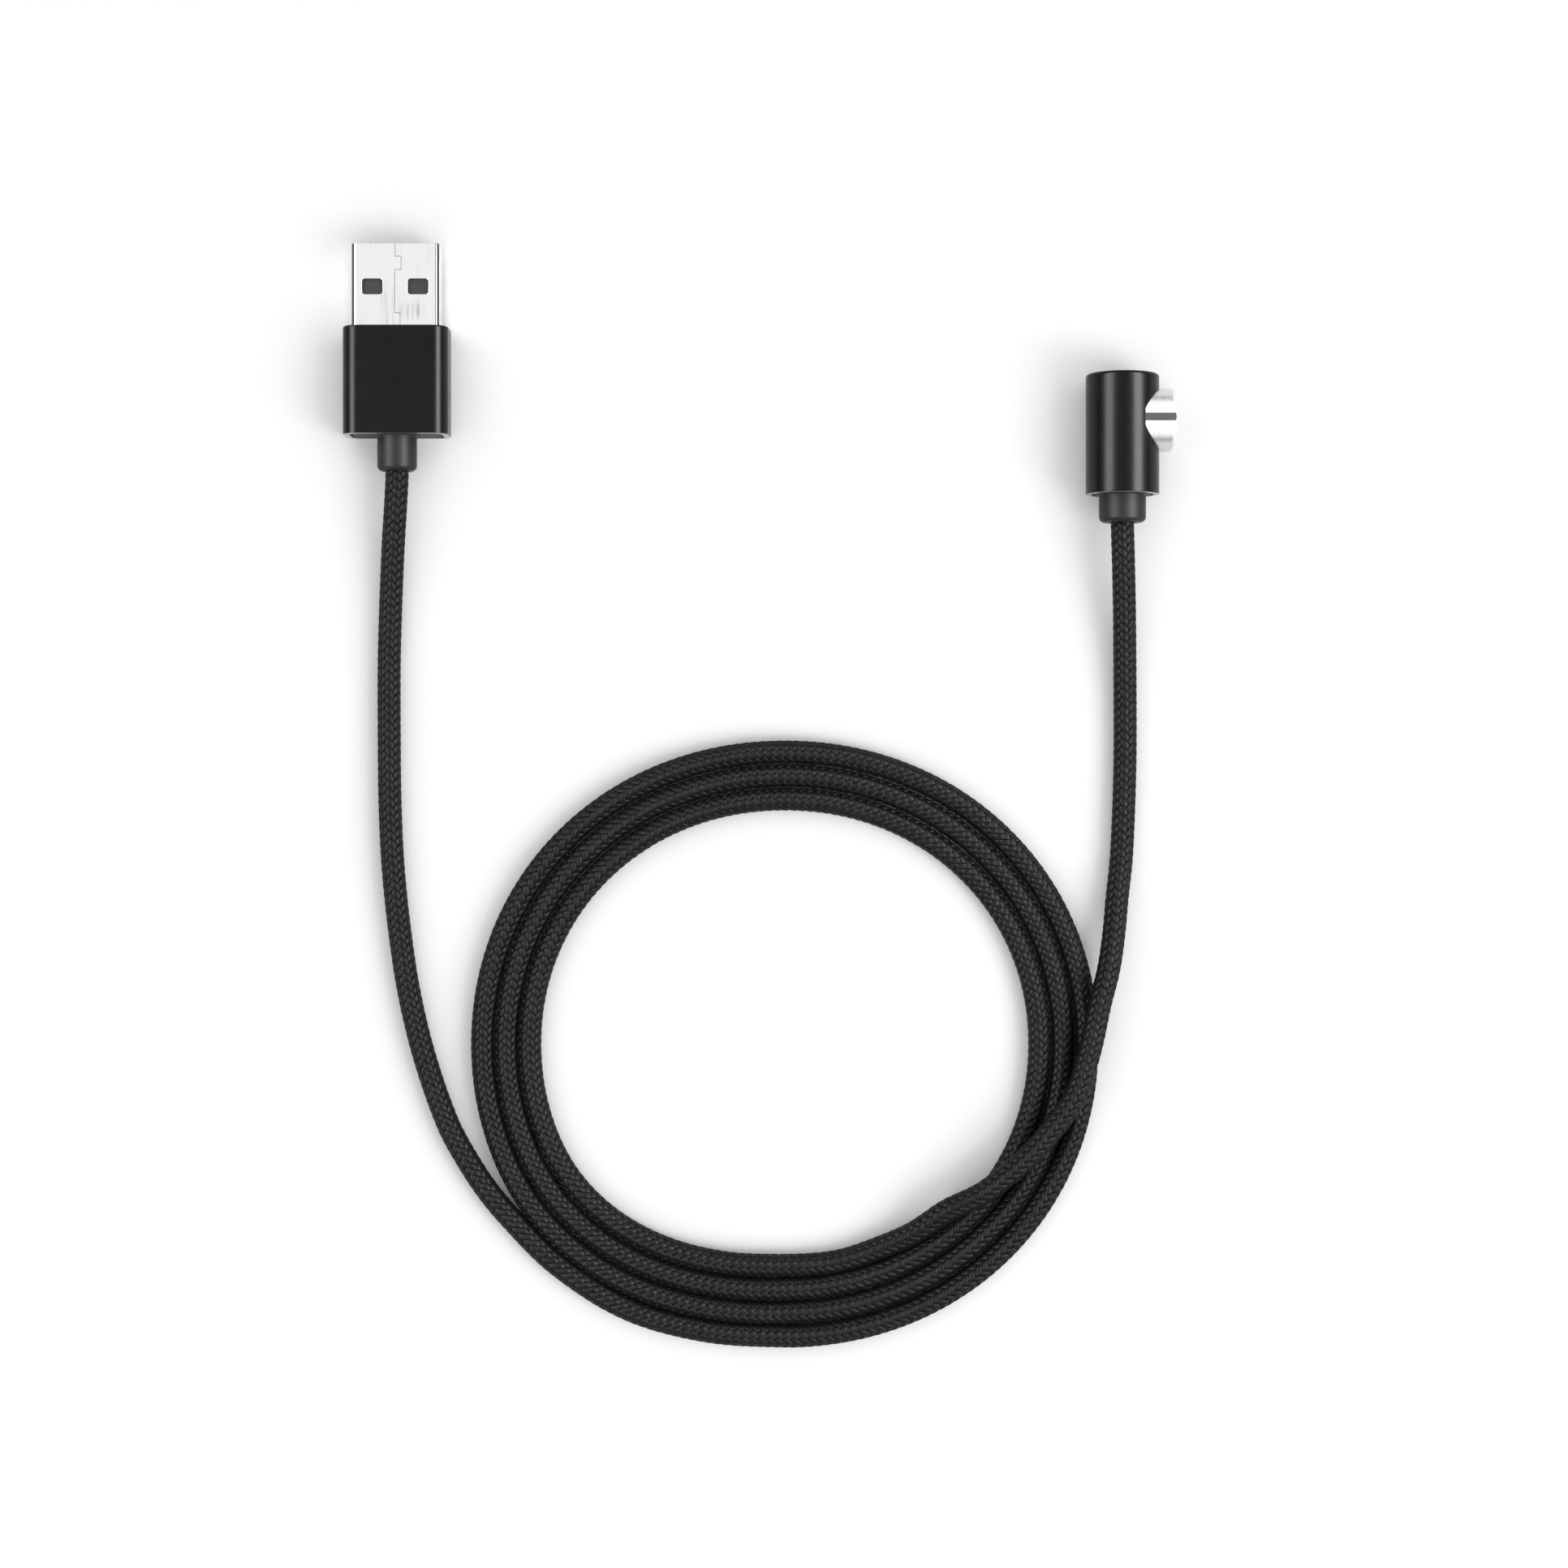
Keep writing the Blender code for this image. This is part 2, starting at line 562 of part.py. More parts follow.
def build_head_inside(head, collar, board_green, plastic, wire_colours, wire_start_y):
    """Circuit board behind the pin, the carrier that backs the collar, and the two wires between them."""
    board = [(0, BOARD_X[0]), (BOARD_RADIUS, BOARD_X[0]), (BOARD_RADIUS, BOARD_X[1]), (0, BOARD_X[1])]
    add_object("head_circuit_board", turned_mesh("head_circuit_board", board, "X"), board_green, collar)
    post = [(0, CARRIER_Y[0]), (CARRIER_RADIUS, CARRIER_Y[0]), (CARRIER_RADIUS, CARRIER_Y[1]), (0, CARRIER_Y[1])]
    carrier = add_object("head_carrier", turned_mesh("head_carrier", post, "Y"), plastic, head)
    low = (CARRIER_FACE_X, CARRIER_Y[0] - MM, -BARREL_RADIUS)
    front = box_mesh("carrier_front", low, (BARREL_RADIUS, CARRIER_Y[1] + MM, BARREL_RADIUS))
    boolean(carrier, add_object("carrier_front", front, plastic, head), "DIFFERENCE")
    low = (CARRIER_SLOT_X, CARRIER_Y[0] - MM, -CARRIER_SLOT_HALF_WIDTH)
    slot = box_mesh("carrier_slot", low, (BARREL_RADIUS, CARRIER_SLOT_TOP_Y, CARRIER_SLOT_HALF_WIDTH))
    boolean(carrier, add_object("carrier_slot", slot, plastic, head), "DIFFERENCE")
    end_x = BOARD_X[0] - WIRE_GAP
    for name, side, made_of in (("head_wire_positive", 1, wire_colours[0]), ("head_wire_negative", -1, wire_colours[1])):
        z = side * WIRE_SPREAD
        points = [
            (0, wire_start_y, z),
            (0, wire_start_y + 2 * MM, z),
            (0, wire_start_y + 3.4 * MM, z),
            (0.35 * MM, wire_start_y + 4.4 * MM, z),
            (0.8 * MM, wire_start_y + 4.8 * MM, z),
            (end_x, wire_start_y + 5 * MM, z),
        ]
        wire_object(name, points, WIRE_RADIUS, made_of, head)


def build_head_rear(head, rubber, braid, brass):
    """Strain relief, cord end and crimp sleeve of the head."""
    insert_back = BARREL_BOTTOM_Y
    insert = [
        (0, insert_back),
        (HEAD_INSERT_RADIUS, insert_back),
        (HEAD_INSERT_RADIUS, HEAD_INSERT_FRONT_Y),
        (0, HEAD_INSERT_FRONT_Y),
    ]
    relief = add_object("head_strain_relief", turned_mesh("head_strain_relief", insert, "Y"), rubber, head)
    boot = boot_mesh("head_boot", HEAD_BOOT_RADIUS, insert_back + BOOT_OVERLAP, HEAD_BOOT_END_Y)
    boolean(relief, add_object("head_boot", boot, rubber, head), "UNION")
    bore_strain_relief(relief, HEAD_INSERT_FRONT_Y, HEAD_BOOT_END_Y, rubber, head)
    return build_cord_end("head", HEAD_INSERT_FRONT_Y, HEAD_BOOT_END_Y, head, braid, brass)


def coil_point(angle, inset, z):
    """A point on the coil's slightly squared oval, a distance in from its outermost strand."""
    across = math.copysign(abs(math.cos(angle)) ** (2 / COIL_SQUARENESS), math.cos(angle))
    along = math.copysign(abs(math.sin(angle)) ** (2 / COIL_SQUARENESS), math.sin(angle))
    x = COIL_CENTRE[0] + (COIL_HALF_WIDTH - inset) * across
    y = COIL_CENTRE[1] + (COIL_HALF_HEIGHT - inset) * along
    return (x, y, z)


def build_coil(cord, braid):
    """The coil's outer shape: a ring three strands wide with half-round sides."""
    radius = CORD_RADIUS - CORD_GAP / 6
    section = []
    last_inset = (COIL_STRANDS - 1) * COIL_PITCH
    for centre, start in ((0.0, -90), (last_inset, 90)):
        for step in range(SIDE_STEPS + 1):
            angle = math.radians(start + 180 * step / SIDE_STEPS)
            section.append((centre - radius * math.cos(angle), CORD_Z + radius * math.sin(angle)))
    work = bmesh.new()
    rings = []
    for step in range(COIL_STEPS):
        around = 2 * math.pi * step / COIL_STEPS
        rings.append([work.verts.new(coil_point(around, inset, z)) for inset, z in section])
    count = len(section)
    for first, second in zip(rings, [*rings[1:], rings[0]]):
        for i in range(count):
            j = (i + 1) % count
            work.faces.new((first[i], first[j], second[j], second[i]))
    add_object("cord_coil", finish_mesh("cord_coil", work), braid, cord)


def build_leads(cord, braid):
    """The two uncoiled stretches of cord, from each connector to the coil."""
    for name, route in (("cord_usb_lead", USB_LEAD_ROUTE), ("cord_head_lead", HEAD_LEAD_ROUTE)):
        points = smooth_points([Vector(point) * MM for point in route], TUBE_POINT_SPACING)
        wire_object(name, points, CORD_RADIUS, braid, cord)


def main():
    for leftover in list(bpy.data.objects):
        bpy.data.objects.remove(leftover)

    steel = make_material("bright_steel", (0.78, 0.78, 0.77), 0.18, 1.0)
    anodised = make_material("black_anodised", (0.03, 0.03, 0.032), 0.35, 0.8)
    rubber = make_material("dark_rubber", (0.06, 0.06, 0.065), 0.7)
    braid = make_material("black_braid", (0.02, 0.02, 0.022), 0.85)
    plastic = make_material("dark_plastic", (0.05, 0.05, 0.05), 0.5)
    key_plastic = make_material("key_plastic", (0.1, 0.1, 0.1), 0.5)
    plating = make_material("gold_plating", (0.83, 0.62, 0.25), 0.25, 1.0)
    brass = make_material("brass", (0.7, 0.55, 0.25), 0.35, 1.0)
    magnet_grey = make_material("magnet_nickel", (0.6, 0.6, 0.6), 0.3, 1.0)
    spring_steel = make_material("spring_steel", (0.6, 0.6, 0.6), 0.3, 1.0)
    board_green = make_material("board_green", (0.02, 0.2, 0.07), 0.5)
    red_wire = make_material("red_insulation", (0.5, 0.02, 0.02), 0.5)
    black_wire = make_material("black_insulation", (0.02, 0.02, 0.02), 0.5)
    wire_colours = (red_wire, black_wire)

    cable = add_empty("cable", (0, 0, 0))
    plug = add_empty("usb_plug_axis", (PLUG_X, 0, PLUG_Z))
    plug.parent = cable
    head = add_empty("head_barrel_axis", (HEAD_X, 0, HEAD_Z))
    head.parent = cable
    collar = add_empty("head_collar_axis", (0, COLLAR_Y, 0))
    collar.parent = head

    build_usb_shell(plug, steel)
    build_usb_insulator(plug, plastic, plating)
    build_usb_housing(plug, anodised)
    build_usb_rear(plug, rubber, braid, brass, wire_colours)
    build_barrel(head, anodised)
    build_collar(collar, steel, key_plastic)
    build_face_parts(collar, magnet_grey, plastic, plating, spring_steel)
    cord_front = build_head_rear(head, rubber, braid, brass)
    build_head_inside(head, collar, board_green, plastic, wire_colours, cord_front + WIRE_GAP)
    build_coil(cable, braid)
    build_leads(cable, braid)


main()
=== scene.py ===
"""The looks of a braided charging cable: USB-A plug, coiled cord and right-angle magnetic head."""

import math

import bmesh
import bpy
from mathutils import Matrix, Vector


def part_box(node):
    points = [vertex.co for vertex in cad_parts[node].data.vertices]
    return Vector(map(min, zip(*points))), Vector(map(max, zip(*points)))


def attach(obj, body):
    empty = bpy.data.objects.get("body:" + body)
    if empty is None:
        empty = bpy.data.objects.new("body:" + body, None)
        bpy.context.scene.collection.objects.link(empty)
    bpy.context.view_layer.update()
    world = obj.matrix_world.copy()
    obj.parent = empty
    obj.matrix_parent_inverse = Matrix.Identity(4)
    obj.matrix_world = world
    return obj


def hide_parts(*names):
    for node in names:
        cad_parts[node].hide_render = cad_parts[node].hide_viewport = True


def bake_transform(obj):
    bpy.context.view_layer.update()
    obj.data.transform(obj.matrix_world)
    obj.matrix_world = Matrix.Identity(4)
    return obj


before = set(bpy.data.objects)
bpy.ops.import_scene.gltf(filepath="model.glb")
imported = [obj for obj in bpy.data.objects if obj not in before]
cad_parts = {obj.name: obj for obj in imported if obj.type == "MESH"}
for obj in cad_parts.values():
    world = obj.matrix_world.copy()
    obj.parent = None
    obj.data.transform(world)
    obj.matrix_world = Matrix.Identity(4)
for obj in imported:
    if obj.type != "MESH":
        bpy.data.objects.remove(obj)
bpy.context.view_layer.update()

MM = 0.001

# Cord: its route in millimetres and degrees, its leads within half a millimetre of the model's own
CORD_DIAMETER = 3.2 * MM
PLUG_STRETCH = (
    (-49.45, -3.1, 3.8),
    (-49.45, -7.5, 3.8),
)
USB_LEAD = (
    (-49.45, -12.2, 3.8),
    (-49.7, -16.8, 3.6),
    (-50.05, -21.3, 3.0),
    (-50.35, -26.0, 2.3),
    (-50.6, -31.0, 1.8),
    (-50.8, -38.0, 1.65),
    (-50.8, -48.0, 1.65),
    (-50.7, -57.0, 1.65),
    (-50.3, -65.7, 1.65),
    (-49.4, -74.6, 1.65),
    (-48.05, -83.5, 1.65),
    (-45.9, -92.4, 1.65),
    (-42.8, -101.3, 1.65),
    (-40.5, -105.7, 1.65),
    (-37.6, -110.2, 1.65),
    (-34.6, -113.9, 1.65),
)
COIL_ENTRY = (
    (-27.6, -120.9, 1.65),
    (-17.9, -127.0, 1.65),
    (-7.1, -130.0, 1.65),
)
HEAD_LEAD = (
    (6.4, -120.93, 1.65),
    (11.5, -120.3, 1.65),
    (16.5, -118.6, 1.95),
    (21.4, -116.3, 2.95),
    (25.9, -113.1, 4.2),
    (30.3, -110.9, 4.9),
    (33.5, -108.6, 5.0),
    (36.75, -105.8, 5.0),
    (39.9, -102.3, 5.0),
    (43.25, -97.5, 5.0),
    (45.35, -91.1, 5.0),
    (46.75, -84.7, 4.9),
    (48.0, -80.0, 4.2),
    (48.8, -75.2, 3.2),
    (49.35, -70.2, 2.3),
    (49.95, -65.2, 1.75),
    (50.3, -58.5, 1.65),
    (50.5, -51.0, 1.65),
    (50.5, -44.0, 1.75),
    (50.4, -37.5, 2.35),
    (50.2, -30.5, 3.6),
    (49.95, -24.5, 4.7),
    (49.78, -19.3, 5.0),
)
HEAD_STRETCH = (
    (49.78, -15.0, 5.0),
    (49.78, -11.4, 5.0),
)
COIL_CENTRE = (3.66, -90.5)
COIL_HALF_WIDTH = 41.6
COIL_HALF_HEIGHT = 40.2
COIL_PITCH = 3.25
COIL_SQUARENESS = 2.05
COIL_TURNS = 3
COIL_FIRST_ANGLE = 270
COIL_LAST_ANGLE = 1348
COIL_ANGLE_STEP = 7.0
SHIFT_START = 205
SHIFT_LENGTH = 70
CORD_Z = 1.65
ROUTE_SPACING = 0.6 * MM

# Braid
YARNS_EACH_WAY = 8
BRAID_LEAD = 9.2 * MM
YARN_WIDTH = 0.92 * MM
YARN_THICKNESS = 0.32 * MM
YARN_RISE = 0.15 * MM
BRAID_STEP = 0.25 * MM
YARNS_PER_PIECE = 2
CORE_RADIUS = 1.12 * MM

plug_low, plug_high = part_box("usb_shell")
housing_low, housing_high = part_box("usb_housing")
relief_low, relief_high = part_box("usb_strain_relief")
barrel_low, barrel_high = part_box("head_barrel")
collar_low, collar_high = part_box("head_collar")
head_relief_low, head_relief_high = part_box("head_strain_relief")
disc_low, disc_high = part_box("head_contact_disc")
key_low, key_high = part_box("head_locating_key")
spring_low, spring_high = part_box("pin_spring")

PLUG_X = (plug_low[0] + plug_high[0]) / 2
PLUG_Z = (plug_low[2] + plug_high[2]) / 2
HEAD_X = (barrel_low[0] + barrel_high[0]) / 2
HEAD_Z = (barrel_low[2] + barrel_high[2]) / 2
COLLAR_Y = (collar_low[1] + collar_high[1]) / 2
COLLAR_FLAT = 4.16 * MM
BARREL_CAP = 0.65 * MM
BARREL_EDGE = 0.5 * MM
BOOT_BORE = 1.66 * MM
SEAM_DEPTH = 0.12 * MM
# Where the darker patch painted onto the shell as a reflection sits, and how fast it fades
REFLECTION_PATCH_CENTRE = (PLUG_X + 2.3 * MM, plug_high[1] - 9.2 * MM, plug_high[2])
REFLECTION_PATCH_FADE = (450, 560, 40)


# ---------------------------------------------------------------- node helpers


def new_finish(name, colour, roughness, metallic=0.0):
    """A Principled material with the whole-surface values on the shader's own sockets."""
    made = bpy.data.materials.new(name)
    made.use_nodes = True
    tree = made.node_tree
    surface = tree.nodes["Principled BSDF"]
    surface.inputs["Base Color"].default_value = (*colour, 1.0)
    surface.inputs["Roughness"].default_value = roughness
    surface.inputs["Metallic"].default_value = metallic
    return made, tree, surface


def add(tree, kind, inputs=None, **settings):
    """A node with its settings made and its inputs set or linked."""
    made = tree.nodes.new(kind)
    for key, value in settings.items():
        setattr(made, key, value)
    for key, value in (inputs or {}).items():
        if isinstance(value, bpy.types.NodeSocket):
            tree.links.new(value, made.inputs[key])
        else:
            made.inputs[key].default_value = value
    return made


def calc(tree, operation, a, b=0.0, c=0.0):
    """One step of arithmetic on numbers."""
    return add(tree, "ShaderNodeMath", {0: a, 1: b, 2: c}, operation=operation).outputs[0]


def vector_calc(tree, operation, a, b=(0, 0, 0)):
    """One step of arithmetic on vectors."""
    return add(tree, "ShaderNodeVectorMath", {0: a, 1: b}, operation=operation).outputs[0]


def scaled(tree, vector, factor):
    """A vector made longer or shorter."""
    return add(tree, "ShaderNodeVectorMath", {0: vector, "Scale": factor}, operation="SCALE").outputs[0]


def stretched(tree, source, scale):
    """The coordinates multiplied along each axis, so that a pattern can run in one direction."""
    return add(tree, "ShaderNodeMapping", {"Vector": source, "Scale": scale}).outputs["Vector"]


def noise(tree, vector, scale, detail=3.0, roughness=0.5):
    return add(
        tree,
        "ShaderNodeTexNoise",
        {"Vector": vector, "Scale": scale, "Detail": detail, "Roughness": roughness},
    ).outputs["Fac"]


def spread(tree, factor, low, high, start=0.3, end=0.7):
    """A factor between start and end turned into a value between low and high."""
    inputs = {"Value": factor, "From Min": start, "From Max": end, "To Min": low, "To Max": high}
    return add(tree, "ShaderNodeMapRange", inputs).outputs["Result"]


def tint(tree, factor, dark, light, start=0.3, end=0.7):
    """A colour between two, by a factor."""
    ramp = add(tree, "ShaderNodeValToRGB", {"Fac": factor})
    ramp.color_ramp.elements[0].position = start
    ramp.color_ramp.elements[0].color = (*dark, 1.0)
    ramp.color_ramp.elements[1].position = end
    ramp.color_ramp.elements[1].color = (*light, 1.0)
    return ramp.outputs["Color"]


def eased(tree, value, start, end, low, high):
    """A value between start and end turned smoothly into one between low and high."""
    inputs = {"Value": value, "From Min": start, "From Max": end, "To Min": low, "To Max": high}
    return add(tree, "ShaderNodeMapRange", inputs, interpolation_type="SMOOTHSTEP").outputs[0]


def painted_over(tree, factor, under, over):
    """One colour laid over another, by a factor."""
    mixed = add(tree, "ShaderNodeMix", {0: factor, 6: under, 7: (*over, 1.0)}, data_type="RGBA")
    return mixed.outputs[2]


def emboss(tree, surface, height, distance):
    """A bump of a real depth."""
    bump = add(tree, "ShaderNodeBump", {"Height": height, "Distance": distance, "Strength": 1.0})
    tree.links.new(bump.outputs["Normal"], surface.inputs["Normal"])


def object_coords(tree):
    return add(tree, "ShaderNodeTexCoord").outputs["Object"]


# ---------------------------------------------------------------- finishes


def plug_steel():
    """Bright rolled steel: faint streaks, a darker streaked patch that is a painted reflection, and dark
    lines of painted shade down the corners.
    """
    made, tree, surface = new_finish("plug_steel", (0.9, 0.9, 0.9), 0.1, 1.0)
    coords = object_coords(tree)
    streaks = noise(tree, stretched(tree, coords, (1.0, 0.05, 1.0)), 2600, 4.0, 0.6)
    patches = noise(tree, stretched(tree, coords, (1.0, 0.4, 1.0)), 260, 2.0)
    tree.links.new(spread(tree, streaks, 0.06, 0.16), surface.inputs["Roughness"])
    marks = calc(tree, "MULTIPLY", streaks, patches)
    colour = tint(tree, marks, (0.88, 0.88, 0.88), (0.68, 0.675, 0.67), 0.26, 0.42)

    # Painted reflection: a darker patch of streaks along the shell, laid into the colour around one spot
    offset = vector_calc(tree, "SUBTRACT", coords, REFLECTION_PATCH_CENTRE)
    from_centre = vector_calc(tree, "MULTIPLY", offset, REFLECTION_PATCH_FADE)
    far = add(tree, "ShaderNodeVectorMath", {0: from_centre}, operation="LENGTH").outputs["Value"]
    reflection_patch_weight = eased(tree, far, 0.2, 1.0, 1.0, 0.0)
    lines = noise(tree, stretched(tree, coords, (1.0, 0.02, 0.0)), 1500, 2.0, 0.5)
    sparse = calc(tree, "POWER", spread(tree, lines, 0.0, 1.0), 3.0)
    strength = calc(tree, "MINIMUM", calc(tree, "MULTIPLY", sparse, 1.6), 0.8)
    colour = painted_over(tree, calc(tree, "MULTIPLY", reflection_patch_weight, strength), colour, (0.3, 0.3, 0.31))

    # Painted shade: dark lines down both rolled corners of the shell, laid into its colour
    across = add(tree, "ShaderNodeSeparateXYZ", {"Vector": coords}).outputs["X"]
    left = calc(tree, "COMPARE", across, PLUG_X - 5.74 * MM, 0.22 * MM)
    right = calc(tree, "COMPARE", across, PLUG_X + 5.71 * MM, 0.25 * MM)
    corners = calc(tree, "MULTIPLY", calc(tree, "ADD", left, right), 0.96)
    colour = painted_over(tree, corners, colour, (0.06, 0.06, 0.06))
    tree.links.new(colour, surface.inputs["Base Color"])
    emboss(tree, surface, streaks, 0.002 * MM)
    return made


def collar_steel():
    """Polished, plated steel with the faintest turning marks around it, and painted shade that makes it
    greyer down its sides.
    """
    made, tree, surface = new_finish("collar_steel", (0.93, 0.93, 0.93), 0.2, 1.0)
    coords = object_coords(tree)
    marks = noise(tree, stretched(tree, coords, (1.0, 0.03, 0.03)), 7000, 3.0)
    tree.links.new(spread(tree, marks, 0.27, 0.34), surface.inputs["Roughness"])
    colour = tint(tree, noise(tree, coords, 300, 2.0), (0.9, 0.9, 0.9), (0.95, 0.95, 0.95))
    # Painted shade: the colour turns greyer away from the collar's top line, down its sides
    around = add(tree, "ShaderNodeSeparateXYZ", {"Vector": coords}).outputs["Y"]
    aside = calc(tree, "ABSOLUTE", calc(tree, "SUBTRACT", around, COLLAR_Y))
    painted_side_shade = eased(tree, aside, 1.7 * MM, 3.6 * MM, 0.0, 1.0)
    tree.links.new(painted_over(tree, painted_side_shade, colour, (0.68, 0.68, 0.68)), surface.inputs["Base Color"])
    return made


def satin_black():
    """Bead-blasted black anodising: fine grain and slow changes of gloss."""
    made, tree, surface = new_finish("satin_black", (0.003, 0.003, 0.0032), 0.27)
    surface.inputs["Specular IOR Level"].default_value = 0.15
    coords = object_coords(tree)
    grain = noise(tree, coords, 16000, 2.0, 0.6)
    clouds = noise(tree, coords, 350, 3.0)
    tree.links.new(spread(tree, clouds, 0.25, 0.3), surface.inputs["Roughness"])
    colour = tint(tree, grain, (0.0014, 0.0014, 0.0016), (0.0036, 0.0036, 0.004))
    tree.links.new(colour, surface.inputs["Base Color"])
    emboss(tree, surface, grain, 0.0015 * MM)
    return made


def rim_painted_light():
    """Lighter grey metal for the rims of anodised pieces: painted light, standing in for the light they
    catch from the floor.
    """
    made, tree, surface = new_finish("rim_painted_light", (0.4, 0.4, 0.4), 0.3, 0.9)
    coords = object_coords(tree)
    marks = noise(tree, coords, 9000, 3.0)
    tree.links.new(spread(tree, marks, 0.26, 0.36), surface.inputs["Roughness"])
    colour = tint(tree, marks, (0.37, 0.37, 0.37), (0.45, 0.45, 0.45))
    tree.links.new(colour, surface.inputs["Base Color"])
    return made


def boot_rubber():
    """Matt moulded rubber with fine rings from its mould and a few specks of dust."""
    made, tree, surface = new_finish("boot_rubber", (0.03, 0.03, 0.033), 0.42)
    surface.inputs["Specular IOR Level"].default_value = 0.17
    coords = object_coords(tree)
    rings = add(
        tree,
        "ShaderNodeTexWave",
        {"Vector": coords, "Scale": 1400, "Distortion": 1.5, "Detail": 2.0, "Detail Scale": 2.0},
        bands_direction="Y",
    ).outputs["Fac"]
    grain = noise(tree, coords, 9000, 3.0, 0.6)
    mixed = calc(tree, "MULTIPLY", rings, grain)
    colour = tint(tree, mixed, (0.011, 0.0115, 0.0125), (0.024, 0.0245, 0.027), 0.1, 0.6)
    tree.links.new(colour, surface.inputs["Base Color"])
    tree.links.new(spread(tree, grain, 0.38, 0.55), surface.inputs["Roughness"])
    emboss(tree, surface, mixed, 0.008 * MM)
    return made


def braid_yarn():
    """Black yarn: fine filaments along it, a dull sheen, and slow changes of shade."""
    made, tree, surface = new_finish("braid_yarn", (0.02, 0.021, 0.022), 0.55)
    surface.inputs["Sheen Weight"].default_value = 0.02
    surface.inputs["Sheen Roughness"].default_value = 0.35
    surface.inputs["Sheen Tint"].default_value = (0.6, 0.65, 0.66, 1.0)
    surface.inputs["Specular IOR Level"].default_value = 0.1
    along_and_across = add(tree, "ShaderNodeUVMap", uv_map="UVMap").outputs["UV"]
    filaments = noise(tree, stretched(tree, along_and_across, (1.6, 16.0, 1.0)), 1.0, 2.0, 0.6)
    shade = noise(tree, stretched(tree, along_and_across, (0.35, 0.6, 1.0)), 1.0, 2.0)
    mixed = calc(tree, "MULTIPLY", filaments, shade)
    colour = tint(tree, mixed, (0.0013, 0.0015, 0.0016), (0.0088, 0.0102, 0.0107), 0.1, 0.42)
    tree.links.new(colour, surface.inputs["Base Color"])
    tree.links.new(spread(tree, filaments, 0.32, 0.5), surface.inputs["Roughness"])
    emboss(tree, surface, filaments, 0.03 * MM)
    return made


def core_jacket():
    made, tree, surface = new_finish("core_jacket", (0.006, 0.006, 0.006), 0.7)
    grain = noise(tree, object_coords(tree), 3000, 2.0)
    colour = tint(tree, grain, (0.004, 0.004, 0.004), (0.009, 0.009, 0.009))
    tree.links.new(colour, surface.inputs["Base Color"])
    return made


def moulded_plastic(name, colour, roughness):
    """Plain moulding plastic with a fine grain."""
    made, tree, surface = new_finish(name, colour, roughness)
    surface.inputs["Specular IOR Level"].default_value = 0.25
    grain = noise(tree, object_coords(tree), 7000, 3.0)
    dark = [0.85 * c for c in colour]
    light = [min(1.0, 1.18 * c) for c in colour]
    tree.links.new(tint(tree, grain, dark, light), surface.inputs["Base Color"])
    tree.links.new(spread(tree, grain, roughness - 0.05, roughness + 0.08), surface.inputs["Roughness"])
    emboss(tree, surface, grain, 0.002 * MM)
    return made


def plated_metal(name, colour, roughness):
    """Plated or bare metal with small rub marks."""
    made, tree, surface = new_finish(name, colour, roughness, 1.0)
    coords = object_coords(tree)
    rubs = noise(tree, stretched(tree, coords, (1.0, 0.2, 1.0)), 3500, 4.0, 0.6)
    dark = [0.86 * c for c in colour]
    tree.links.new(tint(tree, rubs, dark, colour), surface.inputs["Base Color"])
    tree.links.new(spread(tree, rubs, roughness - 0.06, roughness + 0.1), surface.inputs["Roughness"])
    return made


def board_mask():
    """Green solder mask over a mesh of copper lines."""
    made, tree, surface = new_finish("board_mask", (0.02, 0.2, 0.07), 0.4)
    lines = add(
        tree,
        "ShaderNodeTexBrick",
        {"Vector": object_coords(tree), "Scale": 900, "Mortar Size": 0.05},
    ).outputs["Fac"]
    colour = tint(tree, lines, (0.02, 0.2, 0.07), (0.05, 0.32, 0.1), 0.2, 0.8)
    tree.links.new(colour, surface.inputs["Base Color"])
    return made


def paint_finishes():
    """Every finish of the cable, made once."""
    return {
        "plug_steel": plug_steel(),
        "collar_steel": collar_steel(),
        # A dark grey metal for the seam's groove: painted shade
        "seam_painted_shade": plated_metal("seam_painted_shade", (0.16, 0.16, 0.16), 0.5),
        "satin_black": satin_black(),
        "rim_painted_light": rim_painted_light(),
        "boot_rubber": boot_rubber(),
        "braid_yarn": braid_yarn(),
        "core_jacket": core_jacket(),
        "tongue_plastic": moulded_plastic("tongue_plastic", (0.016, 0.016, 0.017), 0.5),
        "key_plastic": moulded_plastic("key_plastic", (0.075, 0.075, 0.072), 0.45),
        "carrier_plastic": moulded_plastic("carrier_plastic", (0.03, 0.03, 0.03), 0.5),
        "red_insulation": moulded_plastic("red_insulation", (0.5, 0.02, 0.02), 0.4),
        "black_insulation": moulded_plastic("black_insulation", (0.02, 0.02, 0.02), 0.4),
        "gold_plating": plated_metal("gold_plating", (0.83, 0.6, 0.24), 0.22),
        "crimp_brass": plated_metal("crimp_brass", (0.7, 0.55, 0.25), 0.35),
        "magnet_nickel": plated_metal("magnet_nickel", (0.62, 0.61, 0.6), 0.25),
        "spring_steel": plated_metal("spring_steel", (0.6, 0.6, 0.6), 0.3),
        "board_mask": board_mask(),
    }


# ---------------------------------------------------------------- mesh helpers


def add_piece(name, mesh, finishes, smooth=35.0):
    """A piece of the object with its place in its mesh."""
    for made_of in finishes:
        mesh.materials.append(made_of)
    mesh.shade_smooth()
    mesh.set_sharp_from_angle(angle=math.radians(smooth))
    piece = bpy.data.objects.new(name, mesh)
    bpy.context.collection.objects.link(piece)
    return piece


def even_normals(piece):
    """Lets large faces shade flat and the small round edges between them shade smooth."""
    step = piece.modifiers.new("normals", "WEIGHTED_NORMAL")
    step.weight = 100
    step.keep_sharp = True
    apply_modifiers(piece)


